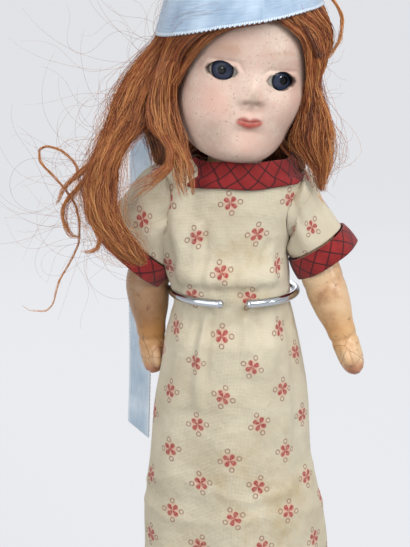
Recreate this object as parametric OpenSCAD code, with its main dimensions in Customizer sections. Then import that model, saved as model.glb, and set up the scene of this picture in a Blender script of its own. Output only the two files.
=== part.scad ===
// Dressed doll with a pressed-cardboard head, glass eyes and strung limbs, held at the waist
// by the sprung clip of a chromed display stand.
// Millimetres, +Z up, the doll faces -Y, and left and right are the doll's own.
// Origin: centre of the stand's underside.

/* [Stand] */
// Diameter of the round base
base_d = 112; // [100:1:140]
// Thickness of the base
base_h = 7; // [6:0.5:12]
// Radius of the base's rounded top edge
base_edge_r = 2.5; // [1:0.5:3]
// Distance of the post behind the doll's axis
post_back = 38; // [36:0.5:44]
// Outside diameter of the post tube
post_d = 9; // [8:0.5:11]
// Length of the post tube above the base
post_len = 120; // [90:1:140]
// Depth of the post's seat in the base
post_seat = 5; // [3:0.5:5]
// Diameter of the sliding rod
rod_d = 5; // [4:0.25:6]
// Length of rod left inside the tube
rod_overlap = 90; // [60:1:100]
// Diameter of the clamp collar
collar_d = 15; // [14:0.5:18]
// Height of the clamp collar
collar_h = 13; // [12:0.5:16]
// Diameter of the clamp screw's shank
screw_d = 4; // [3:0.25:5]
// Diameter of the clamp screw's knurled head
screw_head_d = 11; // [9:0.5:14]
// Diameter of the waist clip's wire
clip_wire_d = 3.2; // [2.4:0.1:4]
// Gap between the clip's two front ends
clip_gap = 9; // [6:0.1:12]

/* [Figure] */
// Gap from the base to the soles
foot_gap = 5; // [4.5:0.5:10]
// Length of a leg from the hip axis to the sole
leg_len = 174; // [150:1:190]
// Hip axis to waist clip
waist_up = 41; // [38:0.5:44]
// Hip axis to shoulder axis
shoulder_up = 75; // [74:0.5:78]
// Hip axis to the centre of the neck ball
neck_up = 91; // [90:0.5:95]
// Width of the torso at the chest
chest_w = 39; // [37:0.5:39.5]
// Width of the torso at the waist
torso_waist_w = 36; // [33:0.5:38]
// Width of the torso at the hips
hip_w = 47; // [45:0.5:49]
// Depth of the torso
torso_depth = 30; // [27:0.5:31]
// Wall of the pressed torso
torso_wall = 2.5; // [2:0.1:3]
// Distance of each shoulder ball from the middle
shoulder_out = 28.2; // [27.8:0.1:29]
// Distance of each hip ball from the middle
hip_out = 14.2; // [13.5:0.1:15]

/* [Limbs] */
// Diameter of the shoulder ball
shoulder_ball_d = 16.6; // [15:0.2:17]
// Diameter of the upper arm
arm_d = 14.4; // [13:0.2:14.8]
// Diameter of the wrist
wrist_d = 10.6; // [9:0.2:12]
// Shoulder axis to elbow
upper_arm_len = 33; // [30:0.5:36]
// Elbow to wrist
forearm_len = 24; // [20:0.5:28]
// Length of the hand
hand_len = 15; // [12:0.5:18]
// Diameter of the hip ball
hip_ball_d = 23; // [21:0.5:24]
// Diameter of the thigh
thigh_d = 22.5; // [20:0.5:24]
// Diameter of the calf
calf_d = 19; // [16:0.5:21]
// Diameter of the ankle
ankle_d = 12.5; // [11:0.5:15]
// Length of the foot
foot_len = 38; // [34:1:44]
// Diameter of the stringing elastic
elastic_d = 2.4; // [1.6:0.1:3]

/* [Head] */
// Width of the head at the cheeks
head_w = 50; // [47:0.5:52]
// Neck axis to the forehead
head_front = 27.8; // [26:0.2:29]
// Neck axis to the back of the head
head_back = 28; // [26:0.2:30]
// Eye line to the point of the chin
face_len = 33; // [31:0.5:35]
// Eye line to the top of the skull
skull_up = 35; // [32:0.5:37]
// Neck ball to the eye line
eye_up = 38.6; // [37:0.2:41]
// Wall of the pressed head
head_wall = 2.4; // [2:0.1:2.8]
// Diameter of the neck ball
neck_ball_d = 22; // [20:0.5:23]
// Distance of each eye from the middle of the face
eye_out = 11.6; // [11:0.1:12.5]
// Width of the eye opening
eye_w = 12.8; // [11:0.1:13.5]
// Height of the eye opening
eye_h = 7.4; // [6:0.1:8]
// Diameter of the glass eye
eye_d = 13.6; // [13:0.1:14.4]
// How far the nose stands out
nose_out = 5; // [3:0.25:6]
// Sideways lean of the head
head_roll = 6.5; // [0:0.5:9]
// Turn of the head towards the doll's left
head_yaw = 5.5; // [0:0.5:15]

/* [Hair and ribbon] */
// Thickness of the hair over the crown
hair_t = 3; // [2:0.25:4]
// Thickness of the hair beside the right cheek
hair_right_t = 17; // [8:0.5:18]
// Thickness of the hair beside the left cheek
hair_left_t = 8; // [6:0.5:10]
// Width of the satin ribbon
ribbon_w = 11; // [8:0.5:13]
// Thickness of the satin ribbon
ribbon_t = 0.5; // [0.4:0.1:0.8]
// Length of the long ribbon tail
tail_len = 168; // [120:1:185]

/* [Dress] */
// Thickness of the dress cloth
cloth_t = 0.8; // [0.6:0.1:1]
// Height of the hem above the soles
hem_up = 88; // [70:1:110]
// Width of the skirt at the hem
hem_w = 76; // [70:1:84]
// Depth of the skirt at the hem
hem_depth = 56; // [54:1:60]
// Width of the dress inside the clip
dress_waist_w = 46; // [44:0.5:47]
// Width of the bodice at the armholes
bodice_w = 53; // [51:0.5:54]
// Depth of the skirt's soft folds
fold_depth = 1.2; // [0.4:0.1:1.6]
// Radius of the armholes
armhole_r = 12.5; // [11.5:0.25:13]
// Height of the plaid cuffs
cuff_h = 8.5; // [8:0.5:10]
// Height of the plaid neckband
band_h = 8.5; // [6:0.5:9]

/* [Hidden] */
$fn = 64;

// Clearances
slide_gap = 0.05;   // rod in its tube, screw in its hole
seat_gap = 0.1;     // glued and pressed seats
ball_gap = 0.4;     // limb and neck balls in their sockets
cord_gap = 0.4;     // elastic through its holes

// Levels
sole_z = base_h + foot_gap;
hip_z = sole_z + leg_len;
waist_z = hip_z + waist_up;
shoulder_z = hip_z + shoulder_up;
neck_z = hip_z + neck_up;
shoulder_y = 2;
neck_y = 2;
hem_z = sole_z + hem_up;
neck_at = [0, neck_y, neck_z];

// Colours
skin_colour = "#c9a183";
face_colour = "#d3b5a6";
cloth_colour = "#c8bd9f";
plaid_colour = "#8f2a2c";
hair_colour = "#8d5428";
satin_colour = "#a9bfd6";
chrome_colour = "#c9ccd0";
elastic_colour = "#d8d2c4";

// Small tools

function clamp01(t) = min(1, max(0, t));
function ease(t) = let (c = clamp01(t)) c * c * (3 - 2 * c);
function mix(a, b, t) = a + (b - a) * t;
function unit(v) = v / norm(v);
function power(base, exponent) = sign(base) * pow(abs(base), exponent);
function bell(offset, width) = exp(-offset * offset / (2 * width * width));

// Faces of rings of n points each: a loop of rings, or a run with flat ends
function skin_faces(m, n, loop) = concat(
    [for (i = [0 : m - (loop ? 1 : 2)], j = [0 : n - 1])
        let (a = i * n + j, b = i * n + (j + 1) % n,
             c = ((i + 1) % m) * n + (j + 1) % n, d = ((i + 1) % m) * n + j)
        each [[a, c, b], [a, d, c]]],
    loop ? [] : [for (j = [1 : n - 2]) [0, j, j + 1]],
    loop ? [] : [for (j = [1 : n - 2]) [(m - 1) * n, (m - 1) * n + j + 1, (m - 1) * n + j]]);

module skin(rings, loop = false) {
    polyhedron(points = [for (ring = rings) each ring],
               faces = skin_faces(len(rings), len(rings[0]), loop));
}

// An oval ring round a centre, spanned by two half axes
function oval(centre, half_a, half_b, n) =
    [for (j = [0 : n - 1]) centre + half_a * cos(360 * j / n) + half_b * sin(360 * j / n)];

// A point of a smooth curve through stations of any width
function smooth_at(p, i, t) =
    let (a = p[max(i - 1, 0)], b = p[i], c = p[i + 1], d = p[min(i + 2, len(p) - 1)])
    0.5 * (2 * b + (c - a) * t + (2 * a - 5 * b + 4 * c - d) * t * t
           + (3 * b - a - 3 * c + d) * t * t * t);

function smooth(p, steps) = concat(
    [for (i = [0 : len(p) - 2], k = [0 : steps - 1]) smooth_at(p, i, k / steps)],
    [p[len(p) - 1]]);

function place(s) = [s[0], s[1], s[2]];

function heading(p, i) =
    unit(place(p[min(i + 1, len(p) - 1)]) - place(p[max(i - 1, 0)]));

// A lock of hair or a ribbon along stations [x, y, z, width, thickness], flat towards facing
module lock(stations, facing, steps = 3, sides = 8) {
    p = smooth(stations, steps);
    skin([for (i = [0 : len(p) - 1])
        let (along = heading(p, i), across = unit(cross(along, facing)), out = cross(across, along))
        oval(place(p[i]), out * p[i][4] / 2, across * p[i][3] / 2, sides)]);
}

module mirrored(side) {
    mirror([side > 0 ? 0 : 1, 0, 0]) children();
}

// Display stand

post_bottom = base_h - post_seat;
post_top = base_h + post_len;
collar_seat = collar_h / 2;
collar_z = post_top - collar_seat;
rod_bottom = post_top - rod_overlap;
screw_z = collar_z + collar_h - (collar_h - collar_seat) / 2;

module stand_base() {
    edge = base_d / 2 - base_edge_r;
    color(chrome_colour) difference() {
        rotate_extrude() union() {
            square([edge, base_h]);
            square([base_d / 2, base_h - base_edge_r]);
            translate([edge, base_h - base_edge_r]) circle(base_edge_r);
        }
        translate([0, post_back, post_bottom]) cylinder(d = post_d + 2 * seat_gap, h = post_seat + 1);
    }
}

module post_tube() {
    color(chrome_colour) translate([0, post_back, post_bottom]) difference() {
        cylinder(d = post_d, h = post_top - post_bottom);
        translate([0, 0, -1]) cylinder(d = rod_d + 2 * slide_gap, h = post_top - post_bottom + 2);
    }
}

module clamp_collar() {
    color(chrome_colour) translate([0, post_back, collar_z]) difference() {
        cylinder(d = collar_d, h = collar_h);
        translate([0, 0, -1]) cylinder(d = post_d + 2 * seat_gap, h = collar_seat + 1);
        cylinder(d = rod_d + 2 * slide_gap, h = collar_h + 1);
        translate([0, 0, screw_z - collar_z]) rotate([-90, 0, 0])
            cylinder(d = screw_d + 2 * slide_gap, h = collar_d);
    }
}

module clamp_screw() {
    head_gap = 1.5;
    head_t = 4;
    knurls = 18;
    shank_from = rod_d / 2 + slide_gap;
    head_from = collar_d / 2 + head_gap;
    color(chrome_colour) translate([0, post_back, screw_z]) rotate([-90, 0, 0]) union() {
        translate([0, 0, shank_from]) cylinder(d = screw_d, h = head_from - shank_from + 1);
        translate([0, 0, head_from]) difference() {
            cylinder(d = screw_head_d, h = head_t);
            for (i = [0 : knurls - 1])
                rotate(360 * i / knurls) translate([screw_head_d / 2, 0, -1])
                    cylinder(d = screw_head_d / knurls * 1.4, h = head_t + 2);
        }
    }
}

clip_r = dress_waist_w / 2 + seat_gap + clip_wire_d / 2 + 0.2;
clip_boss_h = 12;

module stand_rod() {
    color(chrome_colour) translate([0, post_back, rod_bottom])
        cylinder(d = rod_d, h = waist_z - rod_bottom);
}

module waist_clip() {
    boss_d = rod_d + 5;
    mouth = 2 * asin((clip_gap / 2 + clip_wire_d / 2) / clip_r);
    arm_angle = 360 - mouth;
    color(chrome_colour) translate([0, 0, waist_z]) union() {
        rotate(-90 + mouth / 2) rotate_extrude(angle = arm_angle)
            translate([clip_r, 0]) circle(d = clip_wire_d);
        for (end = [-1, 1]) rotate(-90 + end * mouth / 2)
            translate([clip_r, 0, 0]) sphere(d = clip_wire_d * 1.12);
        difference() {
            union() {
                translate([0, post_back, -clip_boss_h / 2]) cylinder(d = boss_d, h = clip_boss_h);
                translate([0, clip_r, 0]) rotate([-90, 0, 0])
                    cylinder(d = clip_wire_d * 1.4, h = post_back - clip_r);
            }
            translate([0, post_back, -clip_boss_h]) cylinder(d = rod_d + 2 * seat_gap, h = clip_boss_h);
        }
    }
}

// Strung body

knot_d = elastic_d * 2;
neck_ball_r = neck_ball_d / 2;
shoulder_socket_r = shoulder_ball_d / 2 + ball_gap;
hip_socket_r = hip_ball_d / 2 + ball_gap;
hip_relief = 1.6;

// Torso levels: [height above the hip axis, half width, half depth]
torso_levels = [
    [-9, hip_w * 0.14, torso_depth * 0.26],
    [-5, hip_w * 0.36, torso_depth * 0.40],
    [3, hip_w * 0.48, torso_depth * 0.49],
    [14, hip_w * 0.5, torso_depth * 0.5],
    [waist_up - 14, mix(hip_w, torso_waist_w, 0.6) / 2, torso_depth * 0.46],
    [waist_up, torso_waist_w / 2, torso_depth * 0.44],
    [waist_up + 14, mix(torso_waist_w, chest_w, 0.5) / 2, torso_depth * 0.47],
    [shoulder_up - 8, chest_w / 2, torso_depth * 0.49],
    [shoulder_up, chest_w / 2, torso_depth * 0.48],
    [shoulder_up + 6, chest_w * 0.42, torso_depth * 0.45],
    [neck_up - 5, neck_ball_r + 4.5, neck_ball_r + 2.5],
    [neck_up + 1, neck_ball_r + 2, neck_ball_r + 2]];

function torso_ring(level, inset, n) =
    oval([0, neck_y * clamp01(level[0] / neck_up), hip_z + level[0]],
         [level[1] - inset, 0, 0], [0, level[2] - inset, 0], n);

module torso() {
    n = 28;
    top = len(torso_levels) - 1;
    outer = [for (level = torso_levels) torso_ring(level, 0, n)];
    inner = [for (i = [top : -1 : 3]) torso_ring(torso_levels[i], torso_wall, n)];
    color(skin_colour) difference() {
        skin(concat(outer, inner));
        translate(neck_at) sphere(neck_ball_r + ball_gap);
        for (side = [-1, 1]) {
            translate([side * shoulder_out, shoulder_y, shoulder_z]) sphere(shoulder_socket_r);
            translate([side * hip_out, 0, hip_z]) sphere(hip_socket_r);
            translate([side * (hip_out + hip_relief), 0, hip_z - hip_ball_d])
                cylinder(r = hip_socket_r + hip_relief, h = hip_ball_d);
        }
        translate([-chest_w, shoulder_y, shoulder_z]) rotate([0, 90, 0])
            cylinder(d = elastic_d + 2 * cord_gap, h = 2 * chest_w);
        translate([-hip_out, 0, hip_z]) rotate([0, 90, 0])
            cylinder(d = elastic_d + 2 * cord_gap, h = 2 * hip_out);
    }
}

module cross_elastic(reach) {
    color(elastic_colour) union() {
        translate([-reach, 0, 0]) rotate([0, 90, 0]) cylinder(d = elastic_d, h = 2 * reach);
        for (side = [-1, 1]) translate([side * reach, 0, 0]) sphere(d = knot_d);
    }
}

module arm_elastic() {
    translate([0, shoulder_y, shoulder_z]) cross_elastic(shoulder_out);
}

module leg_elastic() {
    translate([0, 0, hip_z]) cross_elastic(hip_out);
}

// The neck cord's loop is hooked round the arm cord
module neck_elastic() {
    color(elastic_colour) union() {
        translate(neck_at) sphere(d = knot_d);
        translate([0, neck_y, shoulder_z + elastic_d + cord_gap])
            cylinder(d = elastic_d, h = neck_z - shoulder_z - elastic_d - cord_gap);
        translate([0, shoulder_y, shoulder_z]) rotate([0, 90, 0])
            rotate_extrude() translate([elastic_d + cord_gap, 0]) circle(d = elastic_d);
    }
}

// Limbs, built for the left side with the joint at the origin

// Arm levels: [share of its stretch, half width, half thickness], stretch 0 ball, 1 upper arm,
// 2 forearm, 3 hand
arm_levels = [
    [0, -0.97, 0.22, 0.22], [0, -0.80, 0.60, 0.60], [0, -0.45, 0.89, 0.89], [0, -0.1, 0.995, 0.995],
    [1, 0.25, 1.03, 1.0], [1, 0.55, 1.0, 1.0], [1, 0.85, 0.98, 0.99],
    [2, 0.1, 0.97, 0.99], [2, 0.45, 0.90, 0.93], [2, 0.8, 0.74, 0.78],
    [3, 0, 1.0, 1.0], [3, 0.2, 0.98, 1.02], [3, 0.5, 0.94, 1.12], [3, 0.75, 0.80, 1.0],
    [3, 0.92, 0.52, 0.66], [3, 1.0, 0.16, 0.2]];

function arm_along(level) =
    level[0] == 0 ? level[1] * shoulder_ball_d / 2 :
    level[0] == 1 ? level[1] * upper_arm_len :
    level[0] == 2 ? upper_arm_len + level[1] * forearm_len :
    upper_arm_len + forearm_len + level[1] * hand_len;

function arm_half(level) =
    level[0] == 0 ? shoulder_ball_d / 2 : level[0] == 3 ? wrist_d / 2 : arm_d / 2;

function arm_centre(s, upper, fore) =
    min(s, upper_arm_len) * [sin(upper), 0, -cos(upper)]
    + max(0, s - upper_arm_len) * [sin(fore), 0, -cos(fore)];

function arm_lean(s, upper, fore) = mix(upper, fore, ease((s - upper_arm_len + 6) / 12));

module arm_shape(upper, fore) {
    n = 18;
    thumb_s = upper_arm_len + forearm_len;
    tip = [sin(fore), 0, -cos(fore)];
    wrist = arm_centre(thumb_s, upper, fore);
    difference() {
        union() {
            skin([for (i = [len(arm_levels) - 1 : -1 : 0])
                let (level = arm_levels[i], s = arm_along(level), half = arm_half(level),
                     lean = arm_lean(s, upper, fore))
                oval(arm_centre(s, upper, fore), [cos(lean), 0, sin(lean)] * half * level[2],
                     [0, half * level[3], 0], n)]);
            lock([[each wrist + tip * 2 + [-1, -wrist_d * 0.28, 0], 4.4, 4.0],
                  [each wrist + tip * hand_len * 0.35 + [-1.6, -wrist_d * 0.52, 0], 4.2, 3.8],
                  [each wrist + tip * hand_len * 0.6 + [-1.8, -wrist_d * 0.6, 0], 3.4, 3.2],
                  [each wrist + tip * hand_len * 0.72 + [-1.8, -wrist_d * 0.58, 0], 1.4, 1.4]],
                 [1, 0, 0], 2, 8);
        }
        translate([-shoulder_ball_d, 0, 0]) rotate([0, 90, 0])
            cylinder(d = elastic_d + 2 * cord_gap, h = shoulder_ball_d);
        sphere(d = knot_d + 2 * cord_gap);
    }
}

// Both arms hang clear of the dress, one stretched out and a little forward, one back
arm_clear = 11.5;
cuff_drop = 17;
armhole_drop = 1.5;
upper_splay = atan((dress_waist_w / 2 + arm_clear - shoulder_out) / (cuff_drop + armhole_drop));
left_fore_splay = 20;
left_rest_swing = -7;
right_fore_splay = -4;
right_rest_swing = 3;

module at_shoulder(side) {
    translate([side * shoulder_out, shoulder_y, shoulder_z]) mirrored(side) children();
}

module left_arm() {
    color(skin_colour) at_shoulder(1) rotate([left_rest_swing, 0, 0])
        arm_shape(upper_splay, left_fore_splay);
}

module right_arm() {
    color(skin_colour) at_shoulder(-1) rotate([right_rest_swing, 0, 0])
        arm_shape(upper_splay, right_fore_splay);
}

// Leg rings from the toe up: [forward of the hip axis, height above the sole, tilt, half width,
// half height]
foot_rings = [
    [foot_len * 0.72, 4, 90, 2.6, 2], [foot_len * 0.69, 4.4, 90, 6.4, 4],
    [foot_len * 0.55, 5.2, 90, 8.4, 6], [foot_len * 0.36, 6.8, 90, 8.2, 7.8],
    [foot_len * 0.15, 8.6, 72, 7.4, 9.8], [-3, 9, 42, 7, 10.5],
    [-1, 20, 12, ankle_d / 2 + 0.3, ankle_d / 2 + 1.2]];

leg_rings = [
    [-1, 29, ankle_d / 2, ankle_d / 2], [-1, 44, calf_d * 0.42, calf_d * 0.42],
    [-1.5, 62, calf_d / 2, calf_d / 2], [-1, 80, calf_d * 0.47, calf_d * 0.48],
    [0.5, 92, calf_d * 0.46, calf_d * 0.5], [0, 108, thigh_d * 0.46, thigh_d * 0.46]];

thigh_rings = [[-44, thigh_d / 2], [-22, thigh_d * 0.51]];

hip_rings = [[-6, 0.96], [0, 1], [0.4, 0.916], [0.75, 0.66], [0.95, 0.31], [0.995, 0.1]];

function flat_sole(p) = [p[0], p[1], max(p[2], -leg_len)];

module leg_shape() {
    n = 20;
    foot = [for (r = foot_rings) [for (p = oval([0, -r[0], r[1] - leg_len], [r[3], 0, 0],
            [0, cos(r[2]), -sin(r[2])] * r[4], n)) flat_sole(p)]];
    shin = [for (r = leg_rings) oval([0, -r[0], r[1] * leg_len / 174 - leg_len], [r[2], 0, 0],
            [0, r[3], 0], n)];
    thigh = [for (r = thigh_rings) oval([0, 0, r[0]], [r[1], 0, 0], [0, r[1], 0], n)];
    hip = [for (r = hip_rings) let (z = r[0] < 0 ? r[0] : r[0] * hip_ball_d / 2, w = r[1] * hip_ball_d / 2)
            oval([0, 0, z], [w, 0, 0], [0, w, 0], n)];
    difference() {
        skin(concat(foot, shin, thigh, hip));
        translate([-hip_ball_d, 0, 0]) rotate([0, 90, 0])
            cylinder(d = elastic_d + 2 * cord_gap, h = hip_ball_d);
        sphere(d = knot_d + 2 * cord_gap);
    }
}

module left_leg() {
    color(skin_colour) translate([hip_out, 0, hip_z]) leg_shape();
}

module right_leg() {
    color(skin_colour) translate([-hip_out, 0, hip_z]) mirrored(-1) leg_shape();
}

// Head, with the eye line on the neck axis at the origin

nose_z = -0.265 * face_len;
mouth_z = -0.52 * face_len;
chin_z = -0.82 * face_len;
neck_rim_z = 2.4 - eye_up;
neck_rim_r = neck_ball_r - 0.4;
face_power = 0.92;

// Head levels: [share of the height, width, front, back]
head_levels = [
    [-1.00, 0.44, 0.66, 0.46], [-0.95, 0.60, 0.86, 0.57], [-0.84, 0.745, 0.955, 0.71],
    [-0.75, 0.815, 0.97, 0.775], [-0.65, 0.87, 0.975, 0.835], [-0.58, 0.90, 0.98, 0.87],
    [-0.52, 0.925, 0.985, 0.90], [-0.46, 0.945, 0.985, 0.925], [-0.37, 0.968, 0.985, 0.95],
    [-0.32, 0.977, 0.985, 0.96], [-0.265, 0.985, 0.985, 0.97], [-0.18, 0.994, 0.985, 0.985],
    [-0.08, 1, 0.985, 0.995], [0.06, 1, 0.988, 1], [0.2, 0.998, 0.998, 1], [0.34, 0.985, 0.998, 0.99],
    [0.48, 0.948, 0.97, 0.955], [0.62, 0.88, 0.91, 0.89], [0.72, 0.80, 0.83, 0.81],
    [0.80, 0.71, 0.74, 0.72], [0.88, 0.57, 0.59, 0.58], [0.94, 0.41, 0.43, 0.42],
    [0.98, 0.23, 0.24, 0.235], [1.0, 0.05, 0.05, 0.05]];
crown_level = 0.80;
crown_index = 19;

function head_share(u, column) = lookup(u, [for (level = head_levels) [level[0], level[column]]]);
function head_z(u) = u * (u < 0 ? face_len : skull_up);
function head_u(z) = z < 0 ? z / face_len : z / skull_up;

// Relief of the face: nose, lips, chin, cheeks, eye hollows and brows
function face_relief(x, z) =
    let (side = abs(x))
    nose_out * bell(x, mix(3.2, 2.4, clamp01((z - nose_z) / 8)))
        * bell(z - nose_z, z > nose_z ? 4.8 : 1.9)
    + 1.5 * bell(x, 5) * bell(z - mouth_z, 2.5)
    - 0.6 * bell(side - 7.6, 1.7) * bell(z - mouth_z, 2.2)
    + 1.6 * bell(x, 5.5) * bell(z - chin_z, 3.6)
    + 1.1 * bell(side - 13.5, 5.5) * bell(z + 13, 6)
    - 1.4 * bell(side - eye_out, 5.5) * bell(z, 4.4)
    + 0.6 * bell(side - eye_out, 6) * bell(z - 9.5, 3);

// A point of the head's surface at an angle from the front, positive towards the left
function head_point(angle, z) =
    let (u = head_u(z), x = head_w / 2 * head_share(u, 1) * power(sin(angle), face_power),
         ahead = cos(angle) > 0,
         depth = ahead ? head_front * head_share(u, 2) : head_back * head_share(u, 3),
         y = -depth * power(cos(angle), face_power))
    [x, y - (ahead ? face_relief(x, z) * clamp01(3 * cos(angle)) : 0), z];

// The same surface let out by a thickness, level below the temples and outwards above them
function head_out(angle, z, grow) =
    let (p = head_point(angle, z)) p + unit([p[0], p[1], max(0, z - 0.15 * skull_up)]) * grow;

// Angles round the head, closer together over the face
function head_angles(n) = [for (j = [0 : n - 1]) let (a = 360 * j / n) a - 33 * sin(a)];

module on_head() {
    translate(neck_at) rotate([0, head_roll, 0]) rotate(head_yaw) translate([0, 0, eye_up]) children();
}

// Each eye looks along the cheek's own outward direction
eye_turn = 24;
eye_sink = 0.5;
eye_front = [eye_out, head_point(asin(power(eye_out / head_w * 2, 1 / face_power)), 0)[1], 0];
eye_at = eye_front - (eye_d / 2 + eye_sink) * [sin(eye_turn), -cos(eye_turn), 0];

module at_eye(side) {
    mirrored(side) translate(eye_at) rotate(eye_turn) children();
}

module eye_opening() {
    arc_r = (eye_w * eye_w + eye_h * eye_h) / (4 * eye_h);
    rotate([90, 0, 0]) linear_extrude(eye_d) intersection() {
        translate([0, arc_r - eye_h / 2]) circle(arc_r);
        translate([0, eye_h / 2 - arc_r]) circle(arc_r);
    }
}

function head_ring(u, angles, grow) = [for (a = angles) head_out(a, head_z(u), grow)];

module head_shell() {
    angles = head_angles(44);
    lower = [for (r = [[neck_rim_z, neck_rim_r], [neck_rim_z + 1.6, neck_rim_r]])
        [for (a = angles) [r[1] * sin(a), -r[1] * cos(a), r[0]]]];
    outer = [for (i = [0 : crown_index]) head_ring(head_levels[i][0], angles, 0)];
    bore_r = neck_rim_r - head_wall;
    inner = [for (i = [crown_index, 17, 14, 12, 10, 8, 5, 3])
        [for (p = head_ring(head_levels[i][0], angles, -head_wall)) [p[0], p[1], i == crown_index
            ? head_z(crown_level) : p[2]]]];
    bore = [for (z = [neck_rim_z + 8, neck_rim_z]) [for (a = angles) [bore_r * sin(a), -bore_r * cos(a), z]]];
    color(face_colour) on_head() difference() {
        skin(concat(lower, outer, inner, bore), true);
        for (side = [-1, 1]) at_eye(side) {
            eye_opening();
            sphere(eye_d / 2 + seat_gap);
        }
    }
}

// A cup over the head from a rim line up to the crown, between two thicknesses
module cup(angles, rim, top_u, inside, outside, steps) {
    function level(a, k) = mix(rim[a], head_z(top_u), sin(90 * k / steps));
    function shell_point(j, k, grow) =
        let (p = head_out(angles[j], level(j, k), grow)) [p[0], p[1], max(p[2], rim[j])];
    skin(concat(
        [for (k = [steps : -1 : 0]) [for (j = [0 : len(angles) - 1]) shell_point(j, k, inside)]],
        [for (k = [0 : steps]) [for (j = [0 : len(angles) - 1]) shell_point(j, k, outside)]]));
}

module crown_pate() {
    angles = [for (j = [0 : 27]) 360 * j / 28];
    rim = [for (a = angles) head_z(crown_level) + seat_gap];
    color("#b9a58a") on_head() cup(angles, rim, 0.985, -head_wall * 0.8, 0, 5);
}

module eyeball(side) {
    color("#e9e6df") on_head() at_eye(side) union() {
        sphere(d = eye_d);
        translate([0, -eye_d * 0.17, 0]) sphere(d = eye_d * 0.685);
    }
}

module left_eye() {
    eyeball(1);
}

module right_eye() {
    eyeball(-1);
}

// Plaster that holds the eyes from behind
module eye_bed() {
    wide = 2 * eye_at[0] + eye_d * 0.5;
    color("#ddd8cc") on_head() difference() {
        translate([-wide / 2, eye_at[1] + eye_d * 0.12, -eye_d * 0.3])
            cube([wide, eye_d * 0.62, eye_d * 0.6]);
        for (side = [-1, 1]) at_eye(side) sphere(eye_d / 2 + seat_gap);
    }
}

// Turned wooden ball and spigot that closes the neck
module neck_plug() {
    bore_r = neck_rim_r - head_wall;
    color("#c2a06e") on_head() translate([0, 0, -eye_up]) difference() {
        union() {
            intersection() {
                sphere(neck_ball_r);
                translate([0, 0, 2.4 - seat_gap - neck_ball_d]) cylinder(r = neck_ball_r, h = neck_ball_d);
            }
            cylinder(r = bore_r - 2 * seat_gap, h = 9);
        }
        sphere(d = knot_d + 2 * cord_gap);
        translate([0, 0, -neck_ball_r - 0.5])
            cylinder(r1 = elastic_d + 2, r2 = elastic_d / 2 + cord_gap, h = neck_ball_r + 0.5);
    }
}

// Hair

hair_line = [[-180, -0.95], [-110, -0.86], [-72, -0.76], [-60, -0.36], [-44, 0.06], [-24, 0.40],
             [0, 0.56], [30, 0.56], [46, 0.30], [60, -0.25], [74, -0.76], [110, -0.86], [180, -0.95]];

function turn180(a) = a > 180 ? a - 360 : a;
function hair_rim(angles) = [for (a = angles) head_z(lookup(turn180(a), hair_line))];
cap_gap = 1;
cap_t = 0.6;
hair_in = 2 * cap_gap + cap_t;

// Hair gets thicker down the sides
function hair_thick(a, z) =
    let (drop = ease((0.35 * skull_up - z) / (0.35 * skull_up + 0.7 * face_len)), s = sin(a))
    hair_t + 2 * clamp01(-cos(a)) + drop * (s < 0 ? -s * hair_right_t : s * hair_left_t);

module hair_crown() {
    angles = head_angles(44);
    rim = hair_rim(angles);
    steps = 9;
    top = head_z(0.985);
    function z_at(j, k) = mix(rim[j], top, sin(90 * k / steps));
    inner = [for (k = [steps : -1 : 0]) [for (j = [0 : 43]) head_out(angles[j], z_at(j, k), hair_in)]];
    outer = [for (k = [0 : steps]) [for (j = [0 : 43])
        head_out(angles[j], z_at(j, k), hair_in + hair_thick(angles[j], z_at(j, k)))]];
    color(hair_colour) on_head() skin(concat(inner, outer));
}

module wig_cap() {
    angles = head_angles(36);
    rim = [for (z = hair_rim(angles)) z + 2];
    color("#6d5a44") on_head() cup(angles, rim, 0.985, cap_gap, cap_gap + cap_t, 8);
}

module hair_fall_right() {
    color(hair_colour) translate(neck_at) lock([
        [-32.6, -5, 14.32, 15, 11], [-33.4, -5.2, 10, 17, 12], [-40, -7.5, 4.5, 20, 12],
        [-49.5, -11.5, -2.5, 20, 11], [-54, -16, -11, 19, 10],
        [-53.5, -18, -19, 17, 8], [-48, -20, -27, 14, 6],
        [-40.5, -21.5, -33.5, 9, 4], [-34, -22, -38.5, 2.4, 2]],
        [0, 1, 0], 3, 10);
}

module hair_fall_left() {
    color(hair_colour) translate(neck_at) lock([
        [29.6, -6.5, 8.55, 9, 5.5], [29.9, -6.8, 6.2, 9.5, 6], [31.4, -8.5, 2.4, 9, 6],
        [32.6, -10, -1.6, 6.5, 4.5], [32.4, -10.8, -4.6, 1.6, 1.4]], [0, 1, 0], 3, 10);
}

module hair_fall_back() {
    color(hair_colour) translate(neck_at) lock([
        [-1, 22, 6.4, 36, 6], [-2, 23.5, 0, 42, 7], [-4, 25, -12, 44, 7], [-7, 25.5, -26, 38, 6],
        [-9, 25, -38, 26, 4], [-10, 24.5, -47, 8, 2]], [0, 1, 0], 3, 12);
}

module hair_strand() {
    color(hair_colour) translate(neck_at) lock([
        [-21.3, -24.1, 28.8, 5, 3], [-21.8, -23.6, 22, 5, 3.6], [-22, -23, 12, 5, 3.4],
        [-21, -23, 3, 4.6, 3], [-24, -23.4, -6, 4.5, 2.6], [-32, -23.8, -14, 4, 2], [-41, -25, -20, 1.4, 1]],
        [0, 1, 0], 3, 8);
}

module hair_curl_loop() {
    color(hair_colour) translate(neck_at) lock([
        [-64.4, -16, -10, 2.6, 2], [-65.6, -14, -5, 2.4, 2], [-66, -12, 0, 2.2, 1.8], [-69, -11, 4.5, 2, 1.6],
        [-74, -10, 4, 2, 1.6], [-75, -10, -2, 2, 1.6], [-69, -10, -11, 2, 1.6], [-63, -11, -21, 2, 1.6],
        [-62, -11, -30, 1.8, 1.5], [-66, -10, -40, 1.6, 1.4], [-71, -10, -49, 1.4, 1.2],
        [-78, -10, -55, 1.2, 1], [-86, -10, -51, 0.8, 0.8]], [0, 1, 0], 3, 6);
}

// Ribbon

ribbon_gap = 0.6;
knot_angle = -142;

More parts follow.
